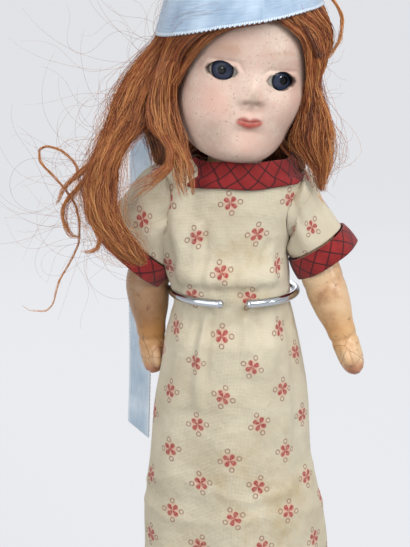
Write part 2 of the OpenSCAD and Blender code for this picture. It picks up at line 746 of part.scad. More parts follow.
// Height of the band's middle, and how much its width rises where the head rounds off
function ribbon_z(a) = head_z(0.63) + 7.05 * sin(a) - 2.05 * sin(a) * sin(a);
function ribbon_rise(z) = lookup(head_u(z), [[0.3, 1], [0.55, 0.9], [0.7, 0.78], [0.85, 0.55], [0.95, 0.3]]);

function ribbon_point(a, share, lift) =
    let (mid = ribbon_z(a), z = mid + share * ribbon_w / 2 * ribbon_rise(mid + share * ribbon_w / 4))
    head_out(a, z, hair_in + hair_thick(a, z) + lift);

module ribbon_band() {
    angles = head_angles(44);
    color(satin_colour) on_head() skin([for (a = angles) [
        ribbon_point(a, -1, ribbon_gap), ribbon_point(a, 0, ribbon_gap), ribbon_point(a, 1, ribbon_gap),
        ribbon_point(a, 1, ribbon_gap + ribbon_t), ribbon_point(a, 0, ribbon_gap + ribbon_t),
        ribbon_point(a, -1, ribbon_gap + ribbon_t)]], true);
}

function to_world(p) =
    let (q = [p[0] * cos(head_yaw) - p[1] * sin(head_yaw), p[0] * sin(head_yaw) + p[1] * cos(head_yaw),
              p[2] + eye_up])
    [q[0] * cos(head_roll) + q[2] * sin(head_roll), q[1], -q[0] * sin(head_roll) + q[2] * cos(head_roll)];

knot_t = 5;
knot_at = to_world(ribbon_point(knot_angle, 0, 2 * ribbon_gap + ribbon_t + knot_t / 2 + 0.2));

module ribbon_knot() {
    along = [cos(knot_angle + head_yaw), sin(knot_angle + head_yaw), 0];
    color(satin_colour) translate(neck_at) lock([for (k = [[-6, 3, 2], [-4, 8, 4], [0, 10, knot_t],
        [4, 8, 4], [6, 3, 2]]) [each knot_at + along * k[0], k[1], k[2]]],
        [-along[1], along[0], 0], 2, 10);
}

// A flat strip of ribbon along stations [x, y, z], its face turned to facing
module strip(stations, facing) {
    p = smooth(stations, 4);
    skin([for (i = [0 : len(p) - 1])
        let (along = heading(p, i), across = unit(cross(along, facing)) * ribbon_w / 2,
             out = unit(cross(across, along)) * ribbon_t / 2)
        [p[i] - across + out, p[i] + across + out, p[i] + across - out, p[i] - across - out]]);
}

module ribbon_tail_long() {
    from = knot_at + [-7.7, 1, -2.4];
    color(satin_colour) translate(neck_at) strip([
        from, [-34.4, 27.5, 40], [-40.6, 25.8, 22], [-42.8, 24, 3], [-43, 23, -tail_len * 0.25],
        [-42.5, 23, -tail_len * 0.45], [-40, 23.5, 50 - tail_len]], [0.6, 0.8, 0.05]);
}

module ribbon_tail_short() {
    from = knot_at + [-1, 4, -3.3];
    color(satin_colour) translate(neck_at) strip([
        from, [-18, 36, 34], [-20, 38, 12], [-21, 38.5, -14], [-21, 38, -36]], [0, 1, 0.05]);
}

// Dress

// Dress levels: [height, half width, half depth, sideways offset]
dress_levels = [
    [hem_z, hem_w / 2, hem_depth / 2, 0.5],
    [mix(hem_z, waist_z, 0.14), hem_w / 2 - 0.6, hem_depth / 2 - 0.4, 0.9],
    [mix(hem_z, waist_z, 0.30), hem_w / 2 - 0.8, hem_depth / 2 - 1.2, -0.2],
    [mix(hem_z, waist_z, 0.47), mix(hem_w, dress_waist_w, 0.38) / 2, hem_depth / 2 - 2, -1.5],
    [mix(hem_z, waist_z, 0.63), mix(hem_w, dress_waist_w, 0.47) / 2, hem_depth / 2 - 2.6, -1.2],
    [mix(hem_z, waist_z, 0.75), mix(hem_w, dress_waist_w, 0.60) / 2, hem_depth / 2 - 3, -0.6],
    [mix(hem_z, waist_z, 0.85), mix(hem_w, dress_waist_w, 0.70) / 2, hem_depth / 2 - 3.2, -0.2],
    [mix(hem_z, waist_z, 0.92), mix(hem_w, dress_waist_w, 0.86) / 2, dress_waist_w / 2 - 1.2, 0],
    [waist_z - 3, dress_waist_w / 2, dress_waist_w / 2 - 1.6, 0],
    [waist_z + 3, dress_waist_w / 2, dress_waist_w / 2 - 2, 0],
    [waist_z + 8, dress_waist_w / 2 + 0.3, dress_waist_w / 2 - 3, 0],
    [waist_z + 15, dress_waist_w / 2 + 0.2, dress_waist_w / 2 - 4.4, 0],
    [shoulder_z - 8, bodice_w / 2 - 1.6, torso_depth / 2 + 3.6, 0],
    [shoulder_z, bodice_w / 2, torso_depth / 2 + 3.4, 0],
    [shoulder_z + 6, bodice_w / 2 + 0.6, torso_depth / 2 + 3.2, 0.6],
    [shoulder_z + 11, bodice_w / 2 + 0.4, torso_depth / 2 + 3, 1.4],
    [shoulder_z + 13, bodice_w / 2 - 2.2, torso_depth / 2 + 2.8, 1.9],
    [neck_z - 2, neck_ball_r + 10.2, torso_depth / 2 + 2.6, 2.2],
    [neck_z + 0.8, neck_ball_r + 8.8, torso_depth / 2 + 1.8, 2.6]];
dress_y = 1;
armhole_z = shoulder_z - armhole_drop;

// Soft folds: broad waves in the skirt, one pleat below the clip, small gathers at the waist
function fold(a, z) =
    let (skirt = ease((waist_z - 6 - z) / 40), near = bell(z - waist_z, 14) - bell(z - waist_z, 4),
         lean = 262 - 0.12 * (waist_z - z))
    fold_depth * skirt * (0.6 * cos(5 * a + 40) + 0.4 * cos(8 * a - 0.35 * z))
    + 0.5 * near * cos(14 * a) * clamp01(abs(sin(a)) * 2 - 0.8)
    + 1.4 * bell(a - lean, 7) * bell(z - waist_z + 24, 14)
    - 1.0 * bell(a - lean - 13, 6) * bell(z - waist_z + 24, 14);

function dress_point(level, a, inset) =
    let (r = 1 + (fold(a, level[0]) - inset) / level[1])
    [level[3] + level[1] * r * cos(a),
     dress_y + (level[2] + fold(a, level[0]) - inset) * sin(a), level[0]];

module dress() {
    n = 32;
    angles = [for (j = [0 : n - 1]) 360 * j / n];
    top = len(dress_levels) - 1;
    outer = [for (level = dress_levels) [for (a = angles) dress_point(level, a, 0)]];
    inner = [for (i = [top : -1 : 0]) [for (a = angles) dress_point(dress_levels[i], a, cloth_t)]];
    color(cloth_colour) difference() {
        skin(concat(outer, inner), true);
        for (side = [-1, 1]) translate([side * 14, shoulder_y, armhole_z])
            rotate([0, side * 90, 0]) cylinder(r = armhole_r, h = bodice_w / 2);
    }
}

// Plaid band round the neck, on the dress and lower in front
band_gap = 0.8;
function band_half(z, column) =
    lookup(z, concat([for (i = [12 : len(dress_levels) - 1]) [dress_levels[i][0], dress_levels[i][column]]],
                     [[neck_z + 6, dress_levels[len(dress_levels) - 1][column] - (column == 3 ? 0 : 1.6)]]));

module neckband() {
    n = 36;
    band_t = 1;
    function band_point(a, k, out) =
        let (front = ease(-sin(a)), z = neck_z - 2.4 - 3.8 * front + k * (band_h - 1.2 + 1.2 * front),
             grow = band_gap + out)
        [band_half(z, 3) + (band_half(z, 1) + grow) * cos(a), dress_y + (band_half(z, 2) + grow) * sin(a), z];
    rows = [0, 0.15, 0.3, 0.45, 0.6, 0.8, 1];
    color(plaid_colour) skin(concat(
        [for (k = rows) [for (j = [0 : n - 1]) band_point(360 * j / n, k, band_t)]],
        [for (i = [6 : -1 : 0]) [for (j = [0 : n - 1]) band_point(360 * j / n, rows[i], 0)]]), true);
}

// Sleeves and cuffs: the sleeve starts inside the armhole and droops to its cuff

sleeve_r = armhole_r - 0.4;
sleeve_from = 20.5;
left_cuff_pitch = 62;
right_cuff_pitch = 55;
cuff_gap = 0.4;
left_cuff_half = 10;
right_cuff_half = 15.4;
cuff_half_y = 12.4;

function cuff_centre(half, pitch) =
    [dress_waist_w / 2 + 1.4 + sin(pitch) * (half + cuff_gap + 1) + cos(pitch) * cuff_h / 2, 0, -cuff_drop];
function cuff_axis(pitch) = [cos(pitch), 0, -sin(pitch)];
function cuff_up(pitch) = [sin(pitch), 0, cos(pitch)];

// The first stretch goes straight out through the armhole, the rest droops
function sleeve_ring(half, cuff_pitch, t, inset, n) =
    let (q = clamp01((t - 0.25) / 0.75), hub = [bodice_w / 2 - 2, 0, 0],
         end = cuff_centre(half, cuff_pitch) - cuff_axis(cuff_pitch) * (cuff_h / 2 + 0.4),
         c = t < 0.25 ? mix([sleeve_from, 0, 0], hub, 4 * t)
                      : mix(hub, end, q) + [1.4, 0, 3.1] * sin(180 * q),
         pitch = cuff_pitch * q, swell = 1.9 * sin(180 * q) - inset,
         up = mix(sleeve_r, half, q) + swell, wide = mix(sleeve_r, cuff_half_y, q) + swell)
    oval(c, [sin(pitch), 0, cos(pitch)] * up, [0, -wide, 0], n);

module sleeve_shape(half, pitch) {
    n = 22;
    steps = [0, 0.25, 0.4, 0.55, 0.7, 0.85, 1];
    skin(concat([for (t = steps) sleeve_ring(half, pitch, t, 0, n)],
                [for (i = [len(steps) - 1 : -1 : 0]) sleeve_ring(half, pitch, steps[i], cloth_t, n)]), true);
}

module cuff_shape(half, pitch) {
    n = 24;
    cuff_t = 1;
    function ring(k, out) =
        oval(cuff_centre(half, pitch) + cuff_axis(pitch) * cuff_h * (k - 0.5),
             cuff_up(pitch) * (half + cuff_gap + out + k * 0.8),
             [0, -(cuff_half_y + cuff_gap + out + k * 0.8), 0], n);
    skin(concat([for (k = [0, 0.5, 1]) ring(k, cuff_t)], [for (k = [1, 0.5, 0]) ring(k, 0)]), true);
}

module at_sleeve(side) {
    translate([0, shoulder_y, armhole_z]) mirrored(side) children();
}

module left_sleeve() {
    color(cloth_colour) at_sleeve(1) sleeve_shape(left_cuff_half, left_cuff_pitch);
}

module right_sleeve() {
    color(cloth_colour) at_sleeve(-1) sleeve_shape(right_cuff_half, right_cuff_pitch);
}

module left_cuff() {
    color(plaid_colour) at_sleeve(1) cuff_shape(left_cuff_half, left_cuff_pitch);
}

module right_cuff() {
    color(plaid_colour) at_sleeve(-1) cuff_shape(right_cuff_half, right_cuff_pitch);
}

// The assembly

stand_base();
post_tube();
clamp_collar();
clamp_screw();
stand_rod();
waist_clip();
torso();
arm_elastic();
leg_elastic();
neck_elastic();
dress();
neckband();
head_shell();
crown_pate();
left_eye();
right_eye();
eye_bed();
neck_plug();
wig_cap();
hair_crown();
hair_fall_right();
hair_fall_left();
hair_fall_back();
hair_strand();
hair_curl_loop();
ribbon_band();
ribbon_knot();
ribbon_tail_long();
ribbon_tail_short();
left_arm();
right_arm();
left_sleeve();
right_sleeve();
left_cuff();
right_cuff();
left_leg();
right_leg();
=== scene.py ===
"""Looks of the cardboard head doll: printed cloth, plaid trim, waved wig, satin ribbon, worn painted face,
glass eyes and chromed stand.

Sizes are millimetres in the part's own frame until a mesh is made. Left and right are the doll's own,
and the doll faces -Y.
"""
import logging
import math
from dataclasses import dataclass, field
from enum import Enum
from functools import partial
from typing import Any, Callable, Optional, Sequence, Union

import bpy
import numpy as np
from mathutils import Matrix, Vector


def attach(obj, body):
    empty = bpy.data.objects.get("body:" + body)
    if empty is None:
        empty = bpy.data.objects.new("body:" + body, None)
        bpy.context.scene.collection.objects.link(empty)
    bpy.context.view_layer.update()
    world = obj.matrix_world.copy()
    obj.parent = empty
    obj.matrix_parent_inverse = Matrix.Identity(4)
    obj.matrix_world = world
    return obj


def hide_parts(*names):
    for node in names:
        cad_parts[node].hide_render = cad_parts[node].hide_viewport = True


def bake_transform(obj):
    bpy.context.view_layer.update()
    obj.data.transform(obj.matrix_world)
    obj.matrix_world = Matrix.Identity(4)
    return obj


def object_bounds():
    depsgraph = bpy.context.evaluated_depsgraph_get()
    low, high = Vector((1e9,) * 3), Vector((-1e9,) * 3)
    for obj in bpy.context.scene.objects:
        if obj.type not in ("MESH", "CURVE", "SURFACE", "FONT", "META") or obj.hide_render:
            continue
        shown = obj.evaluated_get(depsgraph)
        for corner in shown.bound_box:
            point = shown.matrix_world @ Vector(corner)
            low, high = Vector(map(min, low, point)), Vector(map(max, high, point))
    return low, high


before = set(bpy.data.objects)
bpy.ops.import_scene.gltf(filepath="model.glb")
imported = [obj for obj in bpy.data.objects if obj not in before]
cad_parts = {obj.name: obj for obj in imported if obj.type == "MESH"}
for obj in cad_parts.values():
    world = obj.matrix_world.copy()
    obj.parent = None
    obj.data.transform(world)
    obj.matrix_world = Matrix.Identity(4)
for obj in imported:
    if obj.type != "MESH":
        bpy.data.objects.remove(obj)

CAD_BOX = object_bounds()
LOG = logging.getLogger("cardboard_head_doll")
MM = 0.001
CLOTH_MAP = "cloth"
BAKE_MAP = "OFBake"
Array = np.ndarray
Chance = np.random.Generator
Piece = bpy.types.Object
Node = bpy.types.Node
Point = Sequence[float]
Rows = Sequence[Sequence[float]]
Table = tuple[tuple[float, ...], ...]


class Side(Enum):
    """The doll's own left and right, as the sign of X."""

    LEFT = 1
    RIGHT = -1

    @property
    def word(self) -> str:
        """Its word in the names of pieces."""
        return self.name.lower()

    @property
    def mirror(self) -> Array:
        """What turns left places into its own."""
        return np.array([self.value, 1, 1])

    def own(self, pair: Sequence[Any]) -> Any:
        """Its own of a left and a right value."""
        return pair[self is Side.RIGHT]

    def outwards(self, rings: Array) -> Array:
        """Mirrored rings or faces, in the order that keeps their outside out."""
        return rings if self is Side.LEFT else rings[:, ::-1]


class Body(Enum):
    """Moving bodies of the assembly."""

    FIGURE = "figure"
    HEAD = "head"
    LEFT_ARM = "left_arm"
    RIGHT_ARM = "right_arm"
    LEFT_LEG = "left_leg"
    RIGHT_LEG = "right_leg"


@dataclass(frozen=True)
class Turn:
    """Where a soft piece turns from one body to the next."""

    first: Body
    second: Body
    start: tuple[float, float, float]
    end: tuple[float, float, float]


# Where hair and ribbon pass from the head, above the chin, to the dress, below the shoulders
NECK_TURN = Turn(Body.HEAD, Body.FIGURE, (0, 0, 298), (0, 0, 262))


# Small tools


def clamp01(t: Array) -> Array:
    """Holds a value between 0 and 1."""
    return np.clip(t, 0.0, 1.0)


def ease(t: Array) -> Array:
    """Smooth step from 0 to 1."""
    c = clamp01(t)
    return c * c * (3 - 2 * c)


def mix(a: Any, b: Any, t: Any) -> Any:
    """Blend from a to b by the share t."""
    return a + (b - a) * t


def bell(offset: Array, width: Array) -> Array:
    """Bell curve of height 1."""
    return np.exp(-np.square(offset) / (2 * np.square(width)))


def unit(v: Array) -> Array:
    """Vectors of length 1 along the last axis."""
    return v / np.maximum(np.linalg.norm(v, axis=-1, keepdims=True), 1e-9)


def xyz(*columns: Array) -> Array:
    """Columns joined into points or pairs along a new last axis."""
    return np.stack(np.broadcast_arrays(*columns), axis=-1)


def power(base: Array, exponent: float) -> Array:
    """Power that keeps the sign of its base."""
    return np.sign(base) * np.abs(base) ** exponent


def sind(a: Array) -> Array:
    """Sine of an angle in degrees."""
    return np.sin(np.radians(a))


def cosd(a: Array) -> Array:
    """Cosine of an angle in degrees."""
    return np.cos(np.radians(a))


def ring_angles(count: int) -> Array:
    """Even angles round a ring."""
    return np.arange(count) * 360.0 / count


def hermite(a: Array, b: Array, leave: Array, arrive: Array, t: Array) -> Array:
    """Cubic from a to b at the share t, with the slopes that it leaves and arrives by."""
    return (a * (1 + 2 * t) * (1 - t) ** 2 + leave * t * (1 - t) ** 2 + b * t * t * (3 - 2 * t)
            + arrive * t * t * (t - 1))


def level_curve(xs: Point, ys: Point, at: Array) -> Array:
    """Smooth curve through points that doesn't overshoot them.

    Args:
        xs: rising places of the points.
        ys: values at those places.
        at: places to read the curve at.

    Returns:
        The curve's values.
    """
    x, y = np.asarray(xs, float), np.asarray(ys, float)
    h = np.diff(x)
    d = np.diff(y) / h
    w1, w2 = 2 * h[1:] + h[:-1], h[1:] + 2 * h[:-1]
    rising = d[:-1] * d[1:] > 0
    safe = np.where(rising, d[:-1], 1.0), np.where(rising, d[1:], 1.0)
    m = np.concatenate([d[:1], np.where(rising, (w1 + w2) / (w1 / safe[0] + w2 / safe[1]), 0.0), d[-1:]])
    at = np.clip(np.asarray(at, float), x[0], x[-1])
    i = np.clip(np.searchsorted(x, at) - 1, 0, len(x) - 2)
    return hermite(y[i], y[i + 1], m[i] * h[i], m[i + 1] * h[i], (at - x[i]) / h[i])


def smooth_path(stations: Rows, count: int, calm: bool = False) -> Array:
    """Smooth curve through stations of any width.

    Args:
        stations: rows that the curve goes through.
        count: rows to return.
        calm: whether short steps beside long ones are kept from overshooting.

    Returns:
        The rows along the curve.
    """
    rows = np.asarray(stations, float)
    d = np.diff(rows, axis=0)
    m = np.vstack([d[:1], d[:-1] + d[1:], d[-1:]]) / 2
    if calm:
        most = 1.5 * np.minimum(np.abs(d[:-1]), np.abs(d[1:]))
        m[1:-1] = np.clip(m[1:-1], -most, most)
    s = np.linspace(0, len(rows) - 1, count)
    i = np.minimum(s.astype(int), len(rows) - 2)
    return hermite(rows[i], rows[i + 1], m[i], m[i + 1], (s - i)[:, None])


def path_axes(path: Array, facing: Point) -> tuple[Array, Array]:
    """Directions across a path and out of its face.

    Args:
        path: points along the path.
        facing: direction that the flat side turns to.

    Returns:
        Unit vectors across the path, and unit vectors out of its face.
    """
    along = unit(np.gradient(path, axis=0))
    across = unit(np.cross(along, np.asarray(facing, float)))
    return across, np.cross(across, along)


def run_along(path: Array) -> Array:
    """Distance from the start at each point of a path."""
    return np.concatenate([[0], np.cumsum(np.linalg.norm(np.diff(path, axis=0), axis=1))])


# Meshes


@dataclass
class Surface:
    """A mesh in millimetres before it becomes a piece.

    Attributes:
        points: one row per point.
        faces: arrays of point numbers, each array holding faces of one size.
        cloth: cloth coordinates in millimetres, one row per face corner.
        bake: unwrapped coordinates from 0 to 1, one row per face corner.
        marks: named values per point that a finish reads.
    """

    points: Array
    faces: list[Array]
    cloth: Optional[Array] = None
    bake: Optional[Array] = None
    marks: dict[str, Array] = field(default_factory=dict)


def grid_faces(rows: int, columns: int, close_rows: bool, close_columns: bool) -> Array:
    """Four-sided faces of a grid of points.

    Args:
        rows: rings of points.
        columns: points in a ring.
        close_rows: whether the last ring joins the first.
        close_columns: whether each ring is closed; a seamed map repeats its first column instead.

    Returns:
        Point numbers, one face per row, facing outwards for rings in the source's order.
    """
    i, j = np.meshgrid(np.arange(rows - (not close_rows)), np.arange(columns - (not close_columns)), indexing="ij")
    after, below = (j + 1) % columns, (i + 1) % rows * columns
    return xyz(i * columns + j, i * columns + after, below + after, below + j).reshape(-1, 4)


def loft(rings: Array, close_rows: bool = False) -> Surface:
    """Closed surface over rings of points.

    Args:
        rings: points by ring and place in the ring.
        close_rows: whether the last ring joins the first; otherwise flat ends close it.

    Returns:
        The surface.
    """
    m, n = rings.shape[:2]
    faces = [grid_faces(m, n, close_rows, True)]
    if not close_rows:
        faces += [np.arange(n)[None, ::-1], (m - 1) * n + np.arange(n)[None, :]]
    return Surface(rings.reshape(-1, 3), faces)


def ovals(middle: Array, across: Array, out: Array, half: tuple[Array, Array], a: Array) -> Array:
    """Oval rings round a path.

    Args:
        middle: points along the path.
        across: directions of the first half axis.
        out: directions of the second.
        half: lengths of the two half axes.
        a: angles round a ring.

    Returns:
        Points by ring and place in the ring.
    """
    return middle[:, None] + across * (half[0] * cosd(a))[..., None] + out * (half[1] * sind(a))[..., None]


def cloth_shell(outer: Array, thickness: float, around: Array, along: Array) -> Surface:
    """Sheet of cloth sewn into a tube, with its inside one thickness in.

    Args:
        outer: points of the right side by row and place round the tube.
        thickness: thickness of the cloth.
        around: cloth coordinate round the tube, with the first column again as the last.
        along: cloth coordinate down the tube, which spreads over the same columns.

    Returns:
        The closed surface with its cloth coordinates.
    """
    rows, n = outer.shape[:2]
    round_tube = np.roll(outer, -1, axis=1) - np.roll(outer, 1, axis=1)
    inwards = -unit(np.cross(round_tube, np.gradient(outer, axis=0)))
    surface = loft(np.concatenate([outer, (outer + inwards * thickness)[::-1]]), close_rows=True)
    flat = xyz(around, along)
    corners = grid_faces(2 * rows, n + 1, True, False)
    surface.cloth = np.concatenate([flat, flat[::-1]]).reshape(-1, 2)[corners.reshape(-1)]
    return surface


def round_lock(stations: Rows, facing: Point, count: int, sides: int, scale: float = 1.0) -> Surface:
    """Rounded lock along stations of place, width and thickness.

    Args:
        stations: rows of x, y, z, width and thickness.
        facing: direction that its flat side turns to.
        count: rings along it.
        sides: points in a ring.
        scale: share of the width and thickness kept.

    Returns:
        The closed surface.
    """
    p = smooth_path(stations, count)
    across, out = path_axes(p[:, :3], facing)
    a = np.linspace(0, 360, sides, endpoint=False)[None, :, None]
    size = np.maximum(p[:, 3:5], 0.1) * scale / 2
    return loft(p[:, None, :3] + out[:, None] * size[:, 1, None, None] * cosd(a)
                + across[:, None] * size[:, 0, None, None] * sind(a))


def tubes(paths: Array, radius: Array, tone: Array) -> Surface:
    """Many thin three-sided hairs in one mesh, each tapered by its radius.

    Args:
        paths: points by hair and place along the hair.
        radius: radius at each of those points.
        tone: one value per hair for its colour.

    Returns:
        The surface, with the marks tone and length and a bake map of one strip per hair.
    """
    count, steps = paths.shape[:2]
    along = unit(np.gradient(paths, axis=1))
    first = unit(np.cross(along, np.array([0.31, 0.87, 0.38])))
    second = np.cross(along, first)
    a = ring_angles(3)[None, None, :, None]
    rings = paths[:, :, None] + radius[:, :, None, None] * (first[:, :, None] * cosd(a) + second[:, :, None] * sind(a))
    base = (np.arange(count) * steps * 3)[:, None, None]
    last = (steps - 1) * 3
    ends = np.array([[2, 1, 0], [last, last + 1, last + 2]])
    faces = [(base + step[None]).reshape(-1, step.shape[1]) for step in (grid_faces(steps, 3, False, True), ends)]
    wide = math.ceil(math.sqrt(count * 2.0))
    cell = xyz(np.arange(count) % wide, np.arange(count) // wide).astype(float)
    corner = np.arange(steps * 4)
    strip = xyz(0.1 + 0.8 * (corner % 4) / 3, 0.02 + 0.96 * (corner // 4) / (steps - 1))
    strip = strip[grid_faces(steps, 4, False, False)]
    end_strip = np.array([[[0.1, 0.02], [0.2, 0.02], [0.15, 0.03]], [[0.1, 0.98], [0.2, 0.98], [0.15, 0.97]]])
    size = np.array([wide, math.ceil(count / wide)], float)
    bake = np.concatenate([((cell[:, None, None] + part[None]) / size).reshape(-1, 2) for part in (strip, end_strip)])
    marks = {"tone": np.repeat(tone, steps * 3), "length": np.tile(np.repeat(np.linspace(0, 1, steps), 3), count)}
    return Surface(rings.reshape(-1, 3), faces, bake=bake, marks=marks)


def make_piece(name: str, surface: Surface, finish: "Finish") -> Piece:
    """Turns a surface into an object of the scene.

    Args:
        name: name of the piece.
        surface: its mesh in millimetres.
        finish: its finish.

    Returns:
        The object, in metres.
    """
    mesh = bpy.data.meshes.new(name)
    sizes = np.concatenate([np.full(len(f), f.shape[1]) for f in surface.faces])
    corners = np.concatenate([f.reshape(-1) for f in surface.faces]).astype(np.int32)
    mesh.vertices.add(len(surface.points))
    mesh.vertices.foreach_set("co", (surface.points * MM).astype(np.float32).ravel())
    mesh.loops.add(len(corners))
    mesh.loops.foreach_set("vertex_index", corners)
    mesh.polygons.add(len(sizes))
    mesh.polygons.foreach_set("loop_start", (np.cumsum(sizes) - sizes).astype(np.int32))
    for map_name, flat in ((CLOTH_MAP, surface.cloth), (BAKE_MAP, surface.bake)):
        if flat is not None:
            mesh.uv_layers.new(name=map_name).data.foreach_set("uv", flat.astype(np.float32).ravel())
    obj = bpy.data.objects.new(name, mesh)
    set_marks(obj, surface.marks)
    mesh.update(calc_edges=True)
    mesh.validate()
    mesh.shade_smooth()
    mesh.materials.append(finish.material())
    bpy.context.scene.collection.objects.link(obj)
    return obj


def set_marks(obj: Piece, marks: dict[str, Array]) -> None:
    """Writes named values per point on a piece.

    Args:
        obj: the piece.
        marks: values by name.
    """
    for mark, values in marks.items():
        obj.data.attributes.new(mark, "FLOAT", "POINT").data.foreach_set("value", values.astype(np.float32))


def points_of(obj: Piece) -> Array:
    """Points of a piece in millimetres.

    Args:
        obj: the piece.

    Returns:
        One row per point.
    """
    flat = np.empty(len(obj.data.vertices) * 3, np.float32)
    obj.data.vertices.foreach_get("co", flat)
    return flat.reshape(-1, 3).astype(float) / MM


def keep_modified(obj: Piece) -> None:
    """Bakes an object's modifiers into its mesh.

    Args:
        obj: the object.
    """
    bpy.context.view_layer.update()
    old = obj.data
    done = bpy.data.meshes.new_from_object(obj.evaluated_get(bpy.context.evaluated_depsgraph_get()))
    obj.modifiers.clear()
    obj.data = done
    bpy.data.meshes.remove(old)
    done.name = obj.name


def cut_away(obj: Piece, cutter: Surface) -> None:
    """Takes a closed surface's volume out of a piece.

    Args:
        obj: the piece.
        cutter: the volume to take out.
    """
    tool = make_piece("cutter", cutter, PlainTool())
    step = obj.modifiers.new("cut", "BOOLEAN")
    step.operation = "DIFFERENCE"
    step.solver = "EXACT"
    step.object = tool
    keep_modified(obj)
    mesh = tool.data
    bpy.data.objects.remove(tool)
    bpy.data.meshes.remove(mesh)


def moulded(obj: Piece, voxel: float, rounds: int) -> None:
    """Runs a piece's overlapping lumps together into one softly moulded skin.

    Args:
        obj: the piece.
        voxel: grain of the skin.
        rounds: how often it is smoothed.
    """
    skin = obj.modifiers.new("skin", "REMESH")
    skin.mode = "VOXEL"
    skin.voxel_size = voxel * MM
    soften = obj.modifiers.new("soften", "SMOOTH")
    soften.factor = 0.5
    soften.iterations = rounds
    keep_modified(obj)
    obj.data.shade_smooth()


def settle(obj: Piece, on: Union[Body, Turn], slot: str, *nodes: str) -> Piece:
    """Hangs a piece on its body, or bakes its place in where it turns between two, logs its material slot and hides the
    nodes it stands for.

    Args:
        obj: the piece.
        on: body that it moves with, or the turn of a soft piece that crosses a joint.
        slot: material slot, which is only written to the log.
        nodes: nodes that it replaces.

    Returns:
        The same piece.
    """
    if isinstance(on, Turn):
        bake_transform(obj)
    else:
        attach(obj, on.value)
    if nodes:
        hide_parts(*nodes)
    LOG.info("%s in %s, %d faces", obj.name, slot, len(obj.data.polygons))
    return obj


# Finishes


def linear(colour: str) -> tuple[float, ...]:
    """Turns an sRGB hex colour into the linear values that shaders take.

    Args:
        colour: sRGB colour such as #c9bfa5.

    Returns:
        Linear red, green, blue and full alpha.
    """
    parts = [int(colour[i:i + 2], 16) / 255 for i in (1, 3, 5)]
    return (*[c / 12.92 if c <= 0.04045 else ((c + 0.055) / 1.055) ** 2.4 for c in parts], 1.0)


def plug(tree: bpy.types.NodeTree, node: Node, inputs: Union[dict, Sequence]) -> None:
    """Gives a node's inputs their values and links.

    Args:
        tree: the node tree.
        node: the node.
        inputs: values, sockets or nodes, by input name or number or in the inputs' order. A node is linked by
            its first live output.
    """
    for key, value in inputs.items() if isinstance(inputs, dict) else enumerate(inputs):
        if isinstance(value, Node):
            value = next(output for output in value.outputs if output.enabled)
        if isinstance(value, bpy.types.NodeSocket):
            tree.links.new(value, node.inputs[key])
        else:
            node.inputs[key].default_value = value


def add_node(tree: bpy.types.NodeTree, kind: str, inputs: Union[dict, Sequence] = (), **settings: Any) -> Node:
    """Adds one node with its settings and links.

    Args:
        tree: the node tree.
        kind: Blender's name of the node, without its ShaderNode.
        inputs: values and links of its inputs, as plug takes them.
        settings: its other values by property.

    Returns:
        The node.
    """
    node = tree.nodes.new("ShaderNode" + kind)
    for key, value in settings.items():
        setattr(node, key, value)
    plug(tree, node, inputs)
    return node


Adder = Callable[..., Node]
# Blender's wave texture at scale 1 repeats every 0.314 units
WAVE = 0.314


class Finish:
    """A finish that is made once and shared by the pieces that have it."""

    name: str

    def draw(self, add: Adder) -> dict[str, Any]:
        """Draws the finish, which is plain unless a kind of finish draws its own.

        Args:
            add: adds a node to the material.

        Returns:
            Values and links for the shader's inputs.
        """
        return {}

    def tinted(self, add: Adder, ground: Any, *layers: tuple) -> Any:
        """Lays tints over a colour.

        Args:
            add: adds a node to the material.
            ground: the colour under them.
            layers: for each tint its share and its hex colour; between them may stand the two limits that the
                share is spread between, and the most that is laid.

        Returns:
            The tinted colour.
        """
        for share, *limits, tint in layers:
            if limits:
                low, high, most = (*limits, 1.0)[:3]
                share = add("MapRange", (share, low, high, 0.0, most))
            ground = add("Mix", {0: share, 6: ground, 7: linear(tint)}, data_type="RGBA")
        return ground

    def material(self) -> bpy.types.Material:
        """The Blender material, made on first use.

        Returns:
            The material.
        """
        made = bpy.data.materials.get(self.name)
        if made is None:
            made = bpy.data.materials.new(self.name)
            made.use_nodes = True
            tree = made.node_tree
            plug(tree, tree.nodes["Principled BSDF"], self.draw(partial(add_node, tree)))
        return made

    def dress_nodes(self, *nodes: str) -> None:
        """Puts the finish on nodes that keep their own shape.

        Args:
            nodes: names of the nodes.
        """
        for node in nodes:
            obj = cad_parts[node]
            obj.data.materials.clear()
            obj.data.materials.append(self.material())
            LOG.info("%s keeps its shape in %s", node, self.name)


@dataclass(frozen=True)
class PlainTool(Finish):
    """Stands on cutting shapes, which are taken away again."""

    name: str = "cutting_shape"


@dataclass(frozen=True)
class ChromedSteel(Finish):
    """Steel wire and tube, polished and chrome plated."""

    # Polished plating mirrors the room, with fingermarks that blur it in soft patches
    name: str = "steel_chrome_plated"
    plate: str = "#bcc0c5"
    smudge: float = 14.0
    pit: float = 0.8

    def draw(self, add: Adder) -> dict[str, Any]:
        """Draws the plating's fingermarks and fine pits.

        Args:
            add: adds a node to the material.

        Returns:
            Values and links for the shader's inputs.
        """
        place = add("TexCoord").outputs["Object"]
        marks = add("TexNoise", {"Vector": place, "Scale": 1 / (self.smudge * MM), "Detail": 5.0})
        pits = add("TexNoise", {"Vector": place, "Scale": 1 / (self.pit * MM), "Detail": 2.0})
        return {"Base Color": linear(self.plate), "Metallic": 1.0,
                "Roughness": add("MapRange", (marks, 0.35, 0.75, 0.07, 0.26)),
                "Normal": add("Bump", {"Height": pits, "Strength": 0.03, "Distance": 0.05 * MM})}


